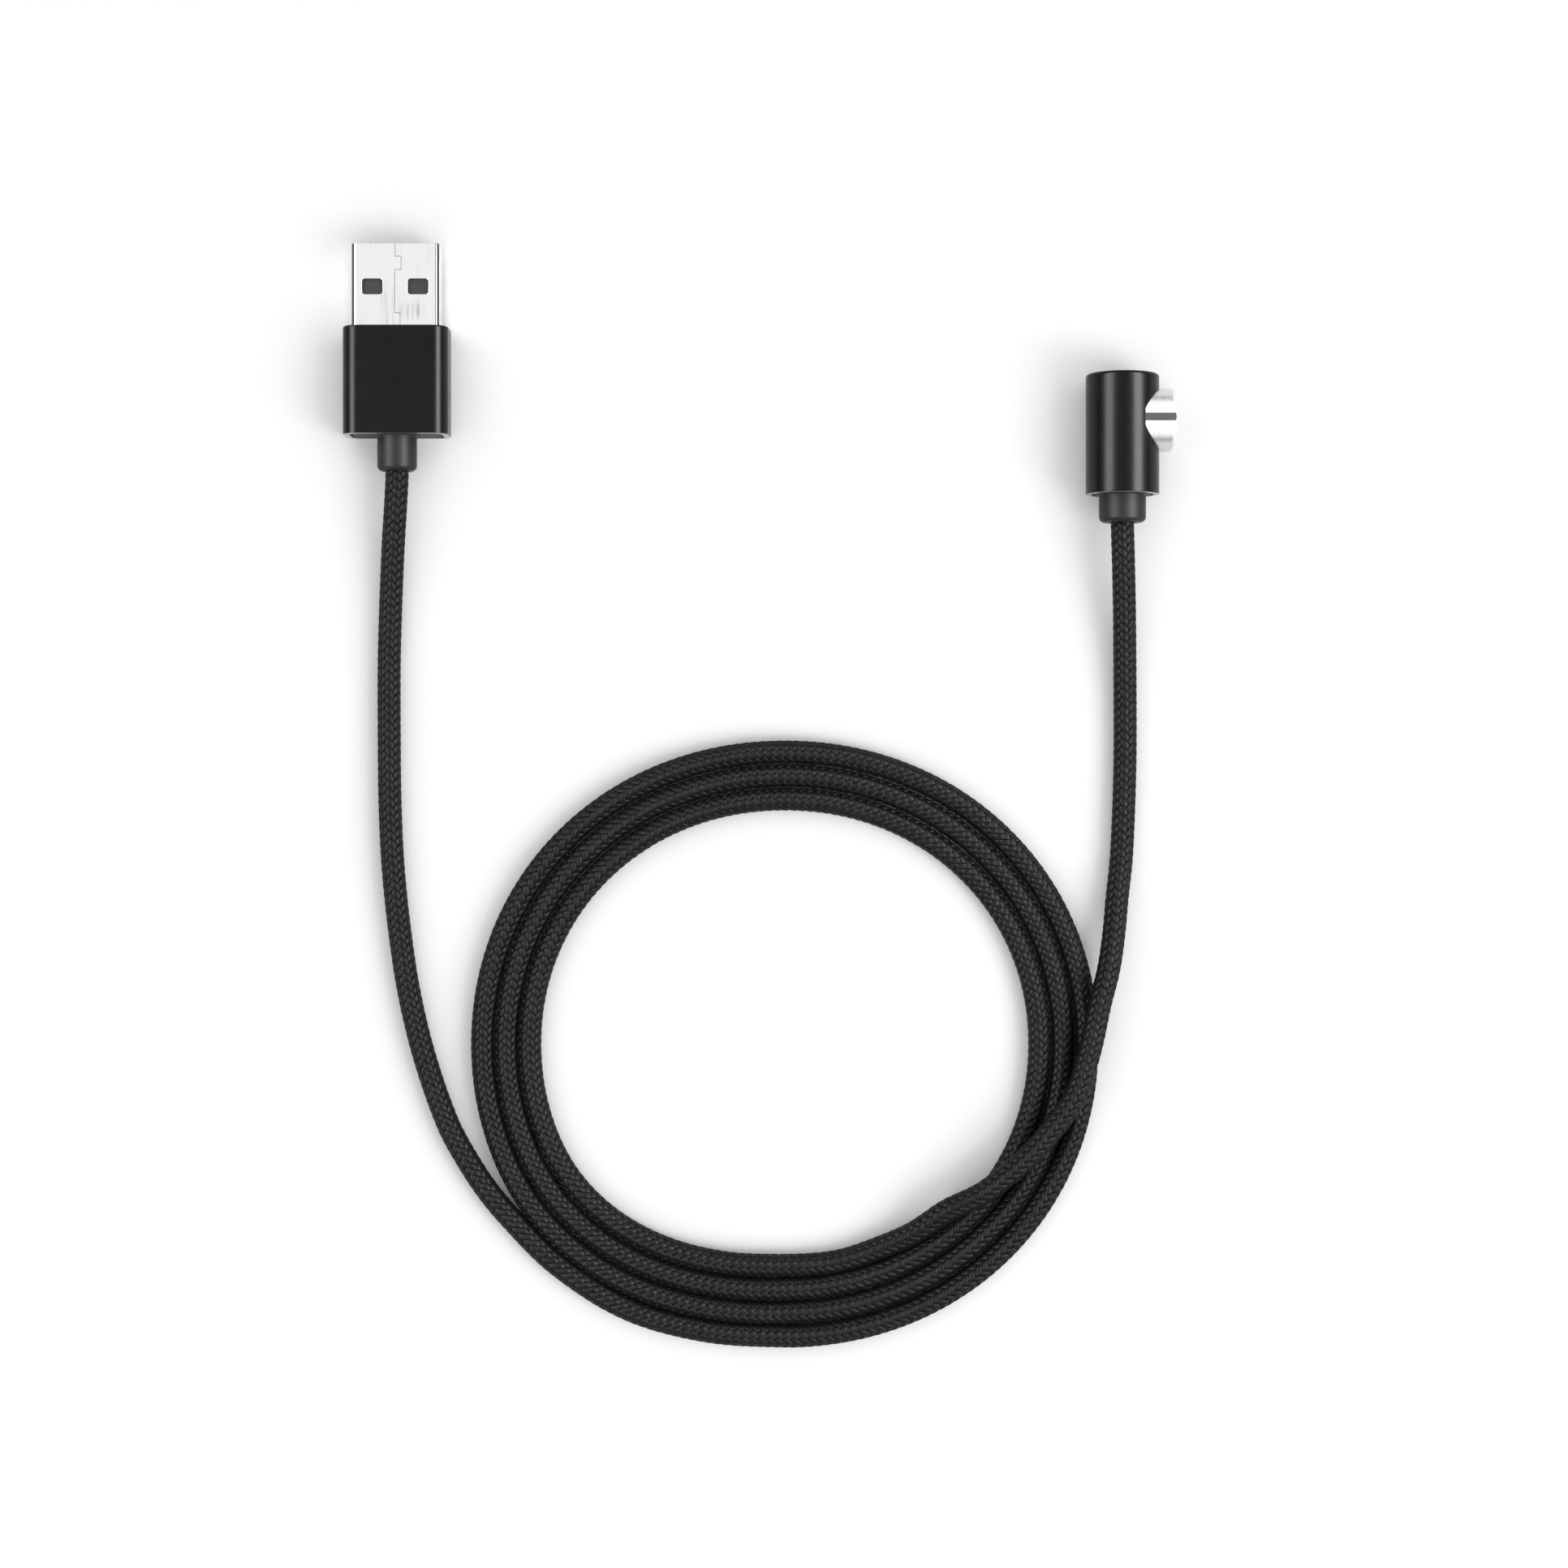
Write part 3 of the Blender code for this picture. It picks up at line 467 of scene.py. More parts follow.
def rounded_outline(width, height, corner, steps):
    """A rectangle with round corners, as (across, up) points counter-clockwise."""
    points = []
    for sign_x, sign_y, start in ((1, 1, 0), (-1, 1, 90), (-1, -1, 180), (1, -1, 270)):
        centre_x = sign_x * (width / 2 - corner)
        centre_y = sign_y * (height / 2 - corner)
        for step in range(steps + 1):
            angle = math.radians(start + 90 * step / steps)
            points.append((centre_x + corner * math.cos(angle), centre_y + corner * math.sin(angle)))
    return points


def round_outline(radius, count):
    """A circle with as many points as a rounded outline, in the same order."""
    points = []
    for index in range(count):
        angle = 2 * math.pi * (index + 0.5) / count
        points.append((radius * math.cos(angle), radius * math.sin(angle)))
    return points


def section_at(outline, centre, y):
    """An (across, up) outline set across the Y axis at a centre."""
    return [(centre[0] + across, y, centre[1] + up) for across, up in outline]


def skin(name, sections, closed_loop=False, slots=None):
    """A closed solid through sections of equal point counts; a loop of sections has no end caps."""
    work = bmesh.new()
    rings = [[work.verts.new(point) for point in section] for section in sections]
    count = len(rings[0])
    pairs = list(zip(rings, rings[1:]))
    if closed_loop:
        pairs.append((rings[-1], rings[0]))
    else:
        work.faces.new(rings[0])
        work.faces.new(rings[-1])
    for number, (first, second) in enumerate(pairs):
        for i in range(count):
            j = (i + 1) % count
            face = work.faces.new((first[i], first[j], second[j], second[i]))
            face.material_index = (slots or {}).get(number, 0)
    return finish_mesh(name, work)


def finish_mesh(name, work):
    bmesh.ops.recalc_face_normals(work, faces=work.faces)
    mesh = bpy.data.meshes.new(name)
    work.to_mesh(mesh)
    work.free()
    return mesh


def turned(name, profile, centre, along, steps=128, slots=None):
    """A turned solid from (radius, position) points; a profile that ends on the axis is closed there."""
    work = bmesh.new()
    loop = profile[0][0] > 0 and profile[-1][0] > 0
    rings = []
    for radius, position in profile:
        ring = []
        for step in range(steps if radius > 0 else 1):
            angle = 2 * math.pi * step / steps
            a = radius * math.cos(angle)
            b = radius * math.sin(angle)
            if along == "Y":
                spot = (centre[0] + a, position, centre[2] + b)
            else:
                spot = (position, centre[1] + a, centre[2] + b)
            ring.append(work.verts.new(spot))
        rings.append(ring)
    pairs = list(zip(rings, rings[1:]))
    if loop:
        pairs.append((rings[-1], rings[0]))
    for number, (first, second) in enumerate(pairs):
        for i in range(steps):
            corners = [first[i % len(first)], first[(i + 1) % len(first)]]
            corners += [second[(i + 1) % len(second)], second[i % len(second)]]
            kept = list(dict.fromkeys(corners))
            if len(kept) > 2:
                face = work.faces.new(kept)
                face.material_index = (slots or {}).get(number, 0)
    return finish_mesh(name, work)


def rounded_edge(radius, position, size, direction, steps=6):
    """Profile points around an outer edge, from the end face out to the side."""
    points = []
    for step in range(steps + 1):
        angle = math.radians(90 * step / steps)
        at_radius = radius - size + size * math.sin(angle)
        at_position = position - direction * size * (1 - math.cos(angle))
        points.append((at_radius, at_position))
    return points


def prism_up(name, outline, low_z, high_z):
    """A solid with a flat outline in plan, between two heights."""
    lower = [(x, y, low_z) for x, y in outline]
    upper = [(x, y, high_z) for x, y in outline]
    return skin(name, [lower, upper])


def cut(piece, cutters):
    """Takes the cutters out of the piece and applies the result to its mesh."""
    tools = []
    for mesh in cutters:
        tool = bpy.data.objects.new("cutter", mesh)
        bpy.context.collection.objects.link(tool)
        step = piece.modifiers.new("cut", "BOOLEAN")
        step.object = tool
        step.solver = "EXACT"
        tools.append(tool)
    apply_modifiers(piece)
    for tool in tools:
        bpy.data.objects.remove(tool)


def apply_modifiers(piece):
    """Bakes a piece's modifiers into its mesh."""
    evaluated = piece.evaluated_get(bpy.context.evaluated_depsgraph_get())
    made = bpy.data.meshes.new_from_object(evaluated)
    piece.modifiers.clear()
    old = piece.data
    piece.data = made
    made.name = old.name
    bpy.data.meshes.remove(old)


def soften_edges(piece, width, segments=2, angle=35.0):
    """Small round edges wherever two faces meet at more than the angle."""
    bevel = piece.modifiers.new("edges", "BEVEL")
    bevel.width = width
    bevel.segments = segments
    bevel.limit_method = "ANGLE"
    bevel.angle_limit = math.radians(angle)
    bevel.use_clamp_overlap = True
    bevel.harden_normals = False
    apply_modifiers(piece)
    piece.data.shade_smooth()
    piece.data.set_sharp_from_angle(angle=math.radians(60.0))
    even_normals(piece)


# ---------------------------------------------------------------- cord


def coil_points():
    """The coil's turns, each one pitch further in than the last, with the step in one sector."""
    points = []
    angle = COIL_FIRST_ANGLE
    while angle < COIL_LAST_ANGLE:
        inset = 0.0
        for turn in range(COIL_TURNS):
            start = SHIFT_START + 360 * (turn + 1)
            t = min(1.0, max(0.0, (angle - start) / SHIFT_LENGTH))
            inset += COIL_PITCH * t * t * (3 - 2 * t)
        radians = math.radians(angle)
        across = math.copysign(abs(math.cos(radians)) ** (2 / COIL_SQUARENESS), math.cos(radians))
        along = math.copysign(abs(math.sin(radians)) ** (2 / COIL_SQUARENESS), math.sin(radians))
        x = COIL_CENTRE[0] + (COIL_HALF_WIDTH - inset) * across
        y = COIL_CENTRE[1] + (COIL_HALF_HEIGHT - inset) * along
        points.append((x, y, CORD_Z))
        angle += COIL_ANGLE_STEP
    return points


def smooth_route(route, spacing):
    """Evenly spaced points, in metres, on the smooth curve through the route."""
    knots = [Vector(point) * MM for point in route]
    knots = [2 * knots[0] - knots[1], *knots, 2 * knots[-1] - knots[-2]]
    fine = []
    per_span = 16
    for before, start, end, after in zip(knots, knots[1:], knots[2:], knots[3:]):
        stride = (end - start).length
        tangent_in = (end - before) * stride / ((start - before).length + stride)
        tangent_out = (after - start) * stride / ((after - end).length + stride)
        for step in range(per_span):
            t = step / per_span
            place = start * (2 * t**3 - 3 * t**2 + 1) + end * (3 * t**2 - 2 * t**3)
            fine.append(place + tangent_in * (t**3 - 2 * t**2 + t) + tangent_out * (t**3 - t**2))
    fine.append(knots[-2])
    length = sum((b - a).length for a, b in zip(fine, fine[1:]))
    count = round(length / spacing)
    picked = [fine[0]]
    travelled = 0.0
    number = 1
    for a, b in zip(fine, fine[1:]):
        stride = (b - a).length
        while number < count and travelled + stride >= length * number / count:
            picked.append(a.lerp(b, (length * number / count - travelled) / stride))
            number += 1
        travelled += stride
    picked.append(fine[-1])
    return picked, length


def line_curve(name, points):
    """An open poly line through points."""
    curve = bpy.data.curves.new(name, "CURVE")
    curve.dimensions = "3D"
    spline = curve.splines.new("POLY")
    spline.points.add(len(points) - 1)
    for spot, place in zip(spline.points, points):
        spot.co = (*place, 1.0)
    return curve


def group_input(tree, name, kind, value=None):
    """A named input of a node group."""
    socket = tree.interface.new_socket(name, in_out="INPUT", socket_type=kind)
    if value is not None:
        socket.default_value = value
    return socket


def braid_tree():
    """Yarns that wind both ways around a route, each over two and under two of the others."""
    tree = bpy.data.node_groups.new("braided_sleeve", "GeometryNodeTree")
    group_input(tree, "Route", "NodeSocketGeometry")
    group_input(tree, "Cord Radius", "NodeSocketFloat", CORD_DIAMETER / 2)
    group_input(tree, "Lead", "NodeSocketFloat", BRAID_LEAD)
    group_input(tree, "Yarns Each Way", "NodeSocketInt", YARNS_EACH_WAY)
    group_input(tree, "First Yarn", "NodeSocketInt", 0)
    group_input(tree, "Yarn Count", "NodeSocketInt", YARNS_PER_PIECE)
    group_input(tree, "Yarn Width", "NodeSocketFloat", YARN_WIDTH)
    group_input(tree, "Yarn Thickness", "NodeSocketFloat", YARN_THICKNESS)
    group_input(tree, "Rise", "NodeSocketFloat", YARN_RISE)
    group_input(tree, "Step", "NodeSocketFloat", BRAID_STEP)
    group_input(tree, "Yarn", "NodeSocketMaterial")
    tree.interface.new_socket("Sleeve", in_out="OUTPUT", socket_type="NodeSocketGeometry")
    given = tree.nodes.new("NodeGroupInput").outputs
    leave = tree.nodes.new("NodeGroupOutput").inputs

    resampled = add(
        tree,
        "GeometryNodeResampleCurve",
        {"Curve": given["Route"], "Length": given["Step"]},
        mode="LENGTH",
    )
    tangent = add(tree, "GeometryNodeInputTangent").outputs[0]
    length = add(tree, "GeometryNodeSplineParameter").outputs["Length"]
    kept = tree.nodes.new("GeometryNodeCaptureAttribute")
    kept.domain = "POINT"
    kept.capture_items.new("VECTOR", "Tangent")
    kept.capture_items.new("FLOAT", "Length")
    tree.links.new(resampled.outputs["Curve"], kept.inputs["Geometry"])
    tree.links.new(tangent, kept.inputs["Tangent"])
    tree.links.new(length, kept.inputs["Length"])
    tangent = kept.outputs["Tangent"]
    length = kept.outputs["Length"]

    copies = add(
        tree,
        "GeometryNodeDuplicateElements",
        {"Geometry": kept.outputs["Geometry"], "Amount": given["Yarn Count"]},
        domain="SPLINE",
    )
    number = calc(tree, "ADD", copies.outputs["Duplicate Index"], given["First Yarn"])
    other_way = calc(tree, "GREATER_THAN", number, calc(tree, "SUBTRACT", given["Yarns Each Way"], 0.5))
    direction = calc(tree, "SUBTRACT", 1.0, calc(tree, "MULTIPLY", other_way, 2.0))
    turn = calc(tree, "DIVIDE", calc(tree, "MULTIPLY", length, direction), given["Lead"])
    place = calc(tree, "ADD", turn, calc(tree, "DIVIDE", number, given["Yarns Each Way"]))
    angle = calc(tree, "MULTIPLY", place, 2 * math.pi)

    side = vector_calc(tree, "NORMALIZE", vector_calc(tree, "CROSS_PRODUCT", tangent, (0, 0, 1)))
    up = vector_calc(tree, "CROSS_PRODUCT", side, tangent)
    outward = vector_calc(
        tree,
        "ADD",
        scaled(tree, side, calc(tree, "COSINE", angle)),
        scaled(tree, up, calc(tree, "SINE", angle)),
    )

    columns = calc(tree, "DIVIDE", given["Yarns Each Way"], 2.0)
    phase = calc(tree, "SUBTRACT", calc(tree, "MULTIPLY", angle, columns), math.pi / 4)
    swing = calc(tree, "COSINE", phase)
    flat = calc(tree, "MINIMUM", calc(tree, "MAXIMUM", calc(tree, "MULTIPLY", swing, 1.5), -1.0), 1.0)
    wave = calc(tree, "SINE", calc(tree, "MULTIPLY", flat, math.pi / 2))
    rise = calc(tree, "MULTIPLY", calc(tree, "MULTIPLY", wave, direction), given["Rise"])
    room = calc(tree, "ADD", given["Rise"], calc(tree, "DIVIDE", given["Yarn Thickness"], 2.0))
    radius = calc(tree, "ADD", calc(tree, "SUBTRACT", given["Cord Radius"], room), rise)
    moved = add(
        tree,
        "GeometryNodeSetPosition",
        {"Geometry": copies.outputs["Geometry"], "Offset": scaled(tree, outward, radius)},
    )
    turned_flat = add(
        tree,
        "GeometryNodeSetCurveNormal",
        {"Curve": moved.outputs["Geometry"], "Normal": outward},
        mode="FREE",
    )

    circle = add(tree, "GeometryNodeCurvePrimitiveCircle", {"Resolution": 8, "Radius": 0.5})
    around = add(tree, "GeometryNodeSplineParameter").outputs["Factor"]
    round_kept = tree.nodes.new("GeometryNodeCaptureAttribute")
    round_kept.domain = "POINT"
    round_kept.capture_items.new("FLOAT", "Around")
    tree.links.new(circle.outputs["Curve"], round_kept.inputs["Geometry"])
    tree.links.new(around, round_kept.inputs["Around"])
    size = add(
        tree,
        "ShaderNodeCombineXYZ",
        {"X": given["Yarn Thickness"], "Y": given["Yarn Width"], "Z": 1.0},
    )
    section = add(
        tree,
        "GeometryNodeTransform",
        {"Geometry": round_kept.outputs["Geometry"], "Scale": size.outputs["Vector"]},
    )
    yarns = add(
        tree,
        "GeometryNodeCurveToMesh",
        {
            "Curve": turned_flat.outputs["Curve"],
            "Profile Curve": section.outputs["Geometry"],
            "Fill Caps": True,
        },
    )
    along = calc(tree, "DIVIDE", length, given["Yarn Width"])
    shifted = calc(tree, "ADD", along, calc(tree, "MULTIPLY", number, 37.0))
    spot = add(tree, "ShaderNodeCombineXYZ", {"X": shifted, "Y": round_kept.outputs["Around"], "Z": 0.0})
    mapped = add(
        tree,
        "GeometryNodeStoreNamedAttribute",
        {"Geometry": yarns.outputs["Mesh"], "Name": "UVMap", "Value": spot.outputs["Vector"]},
        data_type="FLOAT2",
        domain="CORNER",
    )
    smooth = add(tree, "GeometryNodeSetShadeSmooth", {"Geometry": mapped.outputs["Geometry"]})
    real = add(tree, "GeometryNodeRealizeInstances", {"Geometry": smooth.outputs["Geometry"]})
    painted = add(
        tree,
        "GeometryNodeSetMaterial",
        {"Geometry": real.outputs["Geometry"], "Material": given["Yarn"]},
    )
    tree.links.new(painted.outputs["Geometry"], leave["Sleeve"])
    return tree


def frozen(host):
    """The plain mesh of an object as it stands; the object goes."""
    evaluated = host.evaluated_get(bpy.context.evaluated_depsgraph_get())
    mesh = bpy.data.meshes.new_from_object(evaluated)
    bpy.data.objects.remove(host)
    return mesh


def grown(name, source, tree, values):
    """The plain mesh that a node tree makes from a source object's data."""
    host = bpy.data.objects.new(name + "_host", source)
    bpy.context.collection.objects.link(host)
    step = host.modifiers.new(tree.name, "NODES")
    step.node_group = tree
    for item in tree.interface.items_tree:
        if item.name in values:
            step[item.identifier] = values[item.name]
    piece = bpy.data.objects.new(name, frozen(host))
    bpy.context.collection.objects.link(piece)
    return piece


def make_cord(finishes):
    """The whole cord from crimp to crimp: a jacketed core in a braided sleeve."""
    route = [*PLUG_STRETCH, *USB_LEAD, *COIL_ENTRY, *coil_points(), *HEAD_LEAD, *HEAD_STRETCH]
    points, length = smooth_route(route, ROUTE_SPACING)
    core_line = line_curve("cord_core", points)
    core_line.bevel_depth = CORE_RADIUS
    core_line.bevel_resolution = 2
    core_line.use_fill_caps = True
    core_line.materials.append(finishes["core_jacket"])
    core = bpy.data.objects.new("cord_core", core_line)
    bpy.context.collection.objects.link(core)

    tree = braid_tree()
    route_line = line_curve("sleeve_route", points)
    sleeve = []
    for first in range(0, 2 * YARNS_EACH_WAY, YARNS_PER_PIECE):
        way = "right" if first < YARNS_EACH_WAY else "left"
        name = f"sleeve_yarns_{way}_{first % YARNS_EACH_WAY + 1}"
        values = {"First Yarn": first, "Yarn": finishes["braid_yarn"]}
        sleeve.append(grown(name, route_line, tree, values))
    for piece in (core, *sleeve):
        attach(piece, "cable")
    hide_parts("cord_usb_lead", "cord_coil", "cord_head_lead", "usb_cord_end", "head_cord_end")
    print(f"cord length {length:.4f} m")
    return core, sleeve


# ---------------------------------------------------------------- plug


def make_shell(finishes):
    """Folded steel shell: a flat tube with windows, an edge rolled over at its tip, and its seam."""
    wall = 0.3 * MM
    corner = 0.7 * MM
    width = plug_high[0] - plug_low[0]
    height = plug_high[2] - plug_low[2]
    centre = (PLUG_X, PLUG_Z)
    tip = plug_high[1]
    back = plug_low[1]
    lip = 0.13 * MM
    sections = []
    for inset, y in (
        (0, back),
        (0, tip - lip),
        (0.02 * MM, tip - 0.06 * MM),
        (0.05 * MM, tip - 0.02 * MM),
        (0.1 * MM, tip),
        (0.2 * MM, tip - 0.02 * MM),
        (wall, tip - lip),
        (wall, back),
    ):
        outline = rounded_outline(width - 2 * inset, height - 2 * inset, corner - inset, 8)
        sections.append(section_at(outline, centre, y))
    mesh = skin("plug_shell", sections, True)
    shell = add_piece("plug_shell", mesh, [finishes["plug_steel"], finishes["seam_painted_shade"]])

    cutters = []
    window_y = tip - 5.9 * MM
    for side in (-1, 1):
        outline = rounded_outline(2.85 * MM, 2.15 * MM, 0.47 * MM, 8)
        outline = [(PLUG_X + side * 3.12 * MM + x, window_y + y) for x, y in outline]
        cutters.append(prism_up("window", outline, plug_low[2] - MM, plug_high[2] + MM))
    cutters.append(seam_cutter(tip))
    cut(shell, cutters)
    soften_edges(shell, 0.035 * MM, 2, 40.0)
    paint_seam_shade(shell)
    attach(shell, "cable")
    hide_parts("usb_shell")
    return shell


def paint_seam_shade(shell):
    """The groove's walls and floor take the shell's second finish, a dark grey metal that paints shade
    into the seam.
    """
    for face in shell.data.polygons:
        below = plug_high[2] - face.center.z
        if abs(face.center.x - PLUG_X) < MM and 0.002 * MM < below < SEAM_DEPTH + 0.03 * MM:
            face.material_index = 1


def seam_cutter(tip):
    """A hairline groove along the top of the shell, with the two jogs that lock its edges together."""
    # Millimetres across the shell, and back from its tip
    line = [
        (0.0, -0.5),
        (0.0, 1.8),
        (0.82, 1.8),
        (0.82, 3.6),
        (-0.05, 3.6),
        (-0.05, 9.5),
        (0.68, 9.5),
        (0.68, 11.6),
        (0.0, 11.6),
        (0.0, 19.5),
    ]
    half = 0.022
    left = []
    right = []
    for index, (x, y) in enumerate(line):
        before = line[max(0, index - 1)]
        after = line[min(len(line) - 1, index + 1)]
        turn_x = 0.0
        turn_y = 0.0
        for start, end in ((before, (x, y)), ((x, y), after)):
            span = math.dist(start, end)
            if span > 0:
                turn_x += (end[1] - start[1]) / span
                turn_y -= (end[0] - start[0]) / span
        turn_x = max(-1.0, min(1.0, turn_x))
        turn_y = max(-1.0, min(1.0, turn_y))
        left.append((x - half * turn_x, y - half * turn_y))
        right.append((x + half * turn_x, y + half * turn_y))
    outline = [*left, *reversed(right)]
    outline = [(PLUG_X + x * MM, tip - y * MM) for x, y in outline]
    return prism_up("seam", outline, plug_high[2] - SEAM_DEPTH, plug_high[2] + 0.5 * MM)


def make_housing(finishes):
    """Black aluminium sleeve with round corners, a softened front edge and a rim behind in a lighter
    metal that paints in light.
    """
    width = housing_high[0] - housing_low[0]
    height = housing_high[2] - housing_low[2]
    front = housing_high[1]
    back = housing_low[1]
    centre = (PLUG_X, PLUG_Z)
    corner = 2.2 * MM
    wall = 0.9 * MM
    edge = 0.3 * MM
    steps = 10

    def outer(inset, y):
        outline = rounded_outline(width - 2 * inset, height - 2 * inset, corner - inset, steps)
        return section_at(outline, centre, y)

    mouth = rounded_outline(12.5 * MM, 5.0 * MM, 0.95 * MM, steps)
    sections = [outer(wall, back), outer(0.12 * MM, back)]
    sections += [outer(0.03 * MM, back + 0.03 * MM), outer(0, back + 0.12 * MM)]
    # The rear rim takes the lighter metal: painted light
    slots = {0: 1, 1: 1}
    for step in range(7):
        angle = math.radians(90 * step / 6)
        sections.append(outer(edge * (1 - math.cos(angle)), front - edge + edge * math.sin(angle)))
    sections.append(section_at(mouth, centre, front))
    sections.append(section_at(mouth, centre, front - 1.2 * MM))
    sections.append(outer(wall, front - 1.2 * MM))
    mesh = skin("plug_housing", sections, True, slots)
    housing = add_piece("plug_housing", mesh, [finishes["satin_black"], finishes["rim_painted_light"]], 30.0)
    even_normals(housing)
    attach(housing, "cable")
    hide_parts("usb_housing")
    return housing


def boot_sections(centre, radius, start, end, count):
    """A boot's sections from its root to its bore: fine rings, then the rolled lip."""
    sections = []
    length = start - end
    ring_count = 14
    lip = 0.75 * MM
    straight = length - lip - 0.2 * MM
    sections.append(section_at(round_outline(radius + 0.12 * MM, count), centre, start))
    sections.append(section_at(round_outline(radius + 0.03 * MM, count), centre, start - 0.08 * MM))
    for ring in range(ring_count):
        y = start - 0.2 * MM - straight * ring / ring_count
        pitch = straight / ring_count
        sections.append(section_at(round_outline(radius, count), centre, y))
        sections.append(section_at(round_outline(radius, count), centre, y - 0.6 * pitch))
        sections.append(section_at(round_outline(radius - 0.012 * MM, count), centre, y - 0.8 * pitch))
    for step in range(9):
        angle = math.radians(90 * step / 8)
        at = radius - lip + lip * math.cos(angle)
        sections.append(section_at(round_outline(at, count), centre, end + lip - lip * math.sin(angle)))
    sections.append(section_at(round_outline(BOOT_BORE + 0.1 * MM, count), centre, end))
    sections.append(section_at(round_outline(BOOT_BORE, count), centre, end + 0.1 * MM))
    return sections


def make_plug_relief(finishes):
    """One moulding: the insert that fills the housing's rear and the ringed boot behind it."""
    steps = 15
    count = 4 * (steps + 1)
    centre = (PLUG_X, PLUG_Z)
    width = 12.1 * MM
    height = 5.3 * MM
    corner = 1.25 * MM
    back = housing_low[1]
    sections = [section_at(round_outline(BOOT_BORE, count), centre, relief_high[1])]
    for inset, y in (
        (0.1 * MM, relief_high[1]),
        (0, relief_high[1] - 0.1 * MM),
        (0, back + 0.08 * MM),
        (0.08 * MM, back),
    ):
        outline = rounded_outline(width - 2 * inset, height - 2 * inset, corner - inset, steps)
        sections.append(section_at(outline, centre, y))
    sections += boot_sections(centre, 2.7 * MM, back, relief_low[1], count)
    relief = add_piece("plug_boot", skin("plug_boot", sections, True), [finishes["boot_rubber"]])
    even_normals(relief)
    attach(relief, "cable")
    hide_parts("usb_strain_relief")
    return relief


# ---------------------------------------------------------------- head


def flat_topped_rod(name, radius, flat, low_x, high_x, count=160):
    """A rod along X, about the collar's axis, with a flat along its top."""
    sections = []
    for x in (low_x, high_x):
        section = []
        for index in range(count):
            angle = 2 * math.pi * (index + 0.5) / count
            up = min(radius * math.sin(angle), flat)
            section.append((x, COLLAR_Y + radius * math.cos(angle), HEAD_Z + up))
        sections.append(section)
    return skin(name, sections)


def make_barrel(finishes):
    """Satin black cup with a saddle-shaped opening in its side for the collar."""
    radius = (barrel_high[0] - barrel_low[0]) / 2
    top = barrel_high[1] - 0.35 * MM
    inner_end = top - BARREL_CAP
    bottom = barrel_low[1]
    centre = (HEAD_X, 0, HEAD_Z)
    inner = radius - 0.8 * MM
    profile = [(0, top)]
    profile += rounded_edge(radius, top, BARREL_EDGE, 1, 8)
    rim_edge = 0.15 * MM
    straight = top - bottom - BARREL_EDGE - rim_edge
    rings = 30
    for ring in range(1, rings):
        profile.append((radius, top - BARREL_EDGE - straight * ring / rings))
    profile += reversed(rounded_edge(radius, bottom, rim_edge, -1, 4))
    rim = len(profile) - 1
    profile += [(inner + 0.05 * MM, bottom), (inner, bottom + 0.05 * MM)]
    profile += [(inner, inner_end), (0, inner_end)]
    # The bottom rim takes the lighter metal: painted light
    slots = {rim - 1: 1, rim: 1, rim - 2: 1}
    mesh = turned("barrel", profile, centre, "Y", 160, slots)
    barrel = add_piece("barrel", mesh, [finishes["satin_black"], finishes["rim_painted_light"]])
    hole_radius = (collar_high[1] - collar_low[1]) / 2 + 0.06 * MM
    cut(barrel, [flat_topped_rod("hole", hole_radius, COLLAR_FLAT + 0.05 * MM, HEAD_X, collar_high[0])])
    soften_edges(barrel, 0.05 * MM, 2, 38.0)
    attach(barrel, "cable")
    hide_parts("head_barrel")
    return barrel


def make_collar(finishes):
    """Polished collar with a rounded rim around a shallow recess."""
    radius = (collar_high[1] - collar_low[1]) / 2
    face = collar_high[0]
    back = collar_low[0]
    inner = 3.75 * MM
    profile = [(inner, back), (radius - 0.05 * MM, back), (radius, back + 0.05 * MM)]
    profile += reversed(rounded_edge(radius, face, 0.5 * MM, 1, 10))
    profile += [(inner + 0.03 * MM, face), (inner, face - 0.05 * MM)]
    mesh = turned("collar", profile, (0, COLLAR_Y, HEAD_Z), "X", 160)
    collar = add_piece("collar", mesh, [finishes["collar_steel"]])
    top = rounded_outline(12 * MM, 6 * MM, MM, 2)
    top = [(collar_high[0] + x, COLLAR_Y + y) for x, y in top]
    cut(collar, [prism_up("flat", top, HEAD_Z + COLLAR_FLAT, HEAD_Z + 6 * MM)])
    even_normals(collar)
    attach(collar, "cable")
    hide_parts("head_collar")
    return collar


def make_key(finishes):
    """Dark bar with round corners, let into the collar's top and reaching under the barrel."""
    reach = 0.35 * MM
    centre_x = (key_low[0] - reach + key_high[0]) / 2
    centre_y = (key_low[1] + key_high[1]) / 2
    outline = rounded_outline(key_high[0] - key_low[0] + reach, key_high[1] - key_low[1], 0.26 * MM, 6)
    outline = [(centre_x + x, centre_y + y) for x, y in outline]
    mesh = prism_up("locating_key", outline, key_low[2], key_high[2])
    key = add_piece("locating_key", mesh, [finishes["key_plastic"]])
    soften_edges(key, 0.06 * MM, 3, 50.0)
    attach(key, "cable")
    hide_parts("head_locating_key")
    return key


